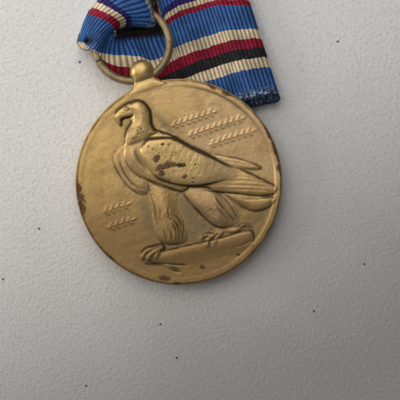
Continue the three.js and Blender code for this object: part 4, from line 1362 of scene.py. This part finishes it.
def sewing_thread():
    """Two-ply cotton: the plies wind round the stitch."""
    n = Nodes("sewing_thread")
    wave = n.add("ShaderNodeTexWave", wave_type="BANDS", bands_direction="DIAGONAL")
    wave.inputs["Scale"].default_value = 1.6 / MM
    wave.inputs["Distortion"].default_value = 1.5
    n.link(n.place, wave.inputs["Vector"])
    n.link(n.mix(wave.outputs["Fac"], (0.10, 0.13, 0.22), (0.30, 0.36, 0.50)), n.shader.inputs["Base Color"])
    n.shader.inputs["Roughness"].default_value = 0.8
    n.link(n.bump(wave.outputs["Fac"], 0.05 * MM, 0.8), n.shader.inputs["Normal"])
    return n.material


# ---- The floor, the light and the camera ----

# The picture is turned in its own plane: these are its right and its up, seen from above.
PICTURE_TURN = math.radians(-17.7)
PICTURE_RIGHT = Vector((math.cos(PICTURE_TURN), math.sin(PICTURE_TURN), 0))
PICTURE_UP = Vector((-math.sin(PICTURE_TURN), math.cos(PICTURE_TURN), 0))


def floor_surface():
    """A pale, finely pebbled surface with a few dark specks, painted greyer at its near side as a painted
    shadow.
    """
    n = Nodes("floor")
    # Painted shadow: the floor's colour darkens towards its near side, the picture's lower right.
    across_floor = n.add("ShaderNodeVectorMath", operation="DOT_PRODUCT")
    n.link(n.place, across_floor.inputs[0])
    across_floor.inputs[1].default_value = 0.9 * PICTURE_UP - 0.45 * PICTURE_RIGHT
    uneven = n.math("MULTIPLY", n.math("SUBTRACT", n.noise(0.03, detail=3.0), 0.5), 0.02)
    far_side = n.range(n.math("ADD", across_floor.outputs["Value"], uneven), -0.055, 0.005)
    colour = n.mix(far_side, (0.36, 0.35, 0.335), (0.84, 0.825, 0.81))
    pebbles = n.noise(1.9, detail=3.0, roughness=0.6)
    colour = n.layer(n.range(pebbles, 0.45, 0.7), 0.28, colour, (0.42, 0.41, 0.405))
    specks = n.add("ShaderNodeTexVoronoi", voronoi_dimensions="2D")
    specks.inputs["Scale"].default_value = 0.055 / MM
    n.link(n.place, specks.inputs["Vector"])
    colour = n.mix(n.range(specks.outputs["Distance"], 0.013, 0.007), colour, (0.06, 0.055, 0.05))
    n.link(colour, n.shader.inputs["Base Color"])
    n.shader.inputs["Roughness"].default_value = 0.75
    n.link(n.bump(pebbles, 0.16 * MM, 0.9), n.shader.inputs["Normal"])
    return n.material


def build_floor():
    half = 900
    corners = [(-half, -half, 0), (half, -half, 0), (half, half, 0), (-half, half, 0)]
    floor = add_mesh("floor", corners, [(0, 1, 2, 3)], FLAT)
    floor.data.materials.append(floor_surface())


# The camera looks straight down. The width is what it sees at the height of the disc's top.
PICTURE_MIDDLE = FLAT @ Vector((2.29, -3.83, 0))
PICTURE_WIDTH = 0.0621
CAMERA_HEIGHT = 0.28
DISC_TOP = 0.0029
SENSOR_WIDTH = 36


def build_camera():
    data = bpy.data.cameras.new("camera")
    camera = bpy.data.objects.new("camera", data)
    bpy.context.scene.collection.objects.link(camera)
    camera.location = PICTURE_MIDDLE + Vector((0, 0, CAMERA_HEIGHT))
    camera.rotation_euler = (0, 0, PICTURE_TURN)
    data.sensor_width = SENSOR_WIDTH
    data.lens = SENSOR_WIDTH * (CAMERA_HEIGHT - DISC_TOP) / PICTURE_WIDTH
    data.clip_start = 0.005
    bpy.context.scene.camera = camera


def add_light(name, right, up, height, size, power, colour):
    """A square lamp, placed by metres to the picture's right, its up and above, facing the medal."""
    data = bpy.data.lights.new(name, "AREA")
    data.size = size
    data.energy = power
    data.color = colour
    lamp = bpy.data.objects.new(name, data)
    bpy.context.scene.collection.objects.link(lamp)
    lamp.location = PICTURE_RIGHT * right + PICTURE_UP * up + Vector((0, 0, height))
    lamp.rotation_euler = (-lamp.location).to_track_quat("-Z", "Y").to_euler()


# Each lamp's place to the right, up and above, its size in metres, its power and its colour.
LAMPS = {
    "key": (-0.040, 0.100, 0.125, 0.180, 0.180, (1.0, 0.99, 0.97)),
    "side": (-0.300, 0.020, 0.110, 0.150, 0.42, (1.0, 0.97, 0.93)),
    "overhead": (-0.060, 0.040, 0.520, 0.300, 0.30, (1.0, 0.97, 0.92)),
}


def build_light():
    """The lamps, and a dim world that is brighter and warmer at the left."""
    for name, settings in LAMPS.items():
        add_light(name, *settings)
    world = bpy.data.worlds.new("studio")
    bpy.context.scene.world = world
    world.use_nodes = True
    nodes, link = world.node_tree.nodes, world.node_tree.links.new
    split = nodes.new("ShaderNodeSeparateXYZ")
    link(nodes.new("ShaderNodeTexCoord").outputs["Generated"], split.inputs["Vector"])
    side = nodes.new("ShaderNodeMapRange")
    side.inputs["From Min"].default_value = -0.9
    side.inputs["From Max"].default_value = 0.9
    link(split.outputs["X"], side.inputs["Value"])
    blend = nodes.new("ShaderNodeMix")
    blend.data_type = "RGBA"
    blend.inputs["A"].default_value = (1.0, 0.97, 0.93, 1)
    blend.inputs["B"].default_value = (0.34, 0.36, 0.40, 1)
    link(side.outputs["Result"], blend.inputs["Factor"])
    link(blend.outputs["Result"], nodes["Background"].inputs["Color"])
    nodes["Background"].inputs["Strength"].default_value = 0.18
    bpy.context.scene.view_settings.view_transform = "Standard"


# ---- Everything together ----

# Metals: the main colour, a darker shade, the stains, then roughness, scratches and metallic.
METALS = {
    "knob_bronze": ((0.66, 0.45, 0.18), (0.44, 0.29, 0.11), (0.13, 0.08, 0.03), 0.36, 0.6, 0.8),
    "ring_wire": ((0.33, 0.245, 0.135), (0.22, 0.165, 0.09), (0.09, 0.065, 0.045), 0.5, 0.5, 0.7),
    "brooch_brass": ((0.60, 0.43, 0.17), (0.42, 0.29, 0.11), (0.13, 0.08, 0.035), 0.28),
    "pin_wire": ((0.62, 0.60, 0.56), (0.46, 0.44, 0.40), (0.20, 0.14, 0.09), 0.2, 0.25),
}


def finish_with(piece, material):
    piece.data.materials.clear()
    piece.data.materials.append(material)


def refinish(node, material):
    """Gives a CAD node that stays in view a better material, in the slots it already has."""
    for slot in frame["nodes"][node].material_slots:
        slot.material = material


def metal(name):
    return worn_metal(name, *METALS[name])


build_camera()
build_light()
build_floor()

for half in build_disc():
    finish_with(half, disc_bronze())
finish_with(build_knob(), metal("knob_bronze"))
finish_with(build_ring(), metal("ring_wire"))

cloth, ribbon_length = build_ribbon()
finish_with(cloth, ribbon_weave())

brass = metal("brooch_brass")
thread = sewing_thread()
for node in ("brooch_bar", "hinge_block", "hinge_rivet", "catch_block", "catch_lock"):
    refinish(node, brass)
refinish("brooch_pin", metal("pin_wire"))
for node in frame["nodes"]:
    if node.startswith("stitch_"):
        refinish(node, thread)
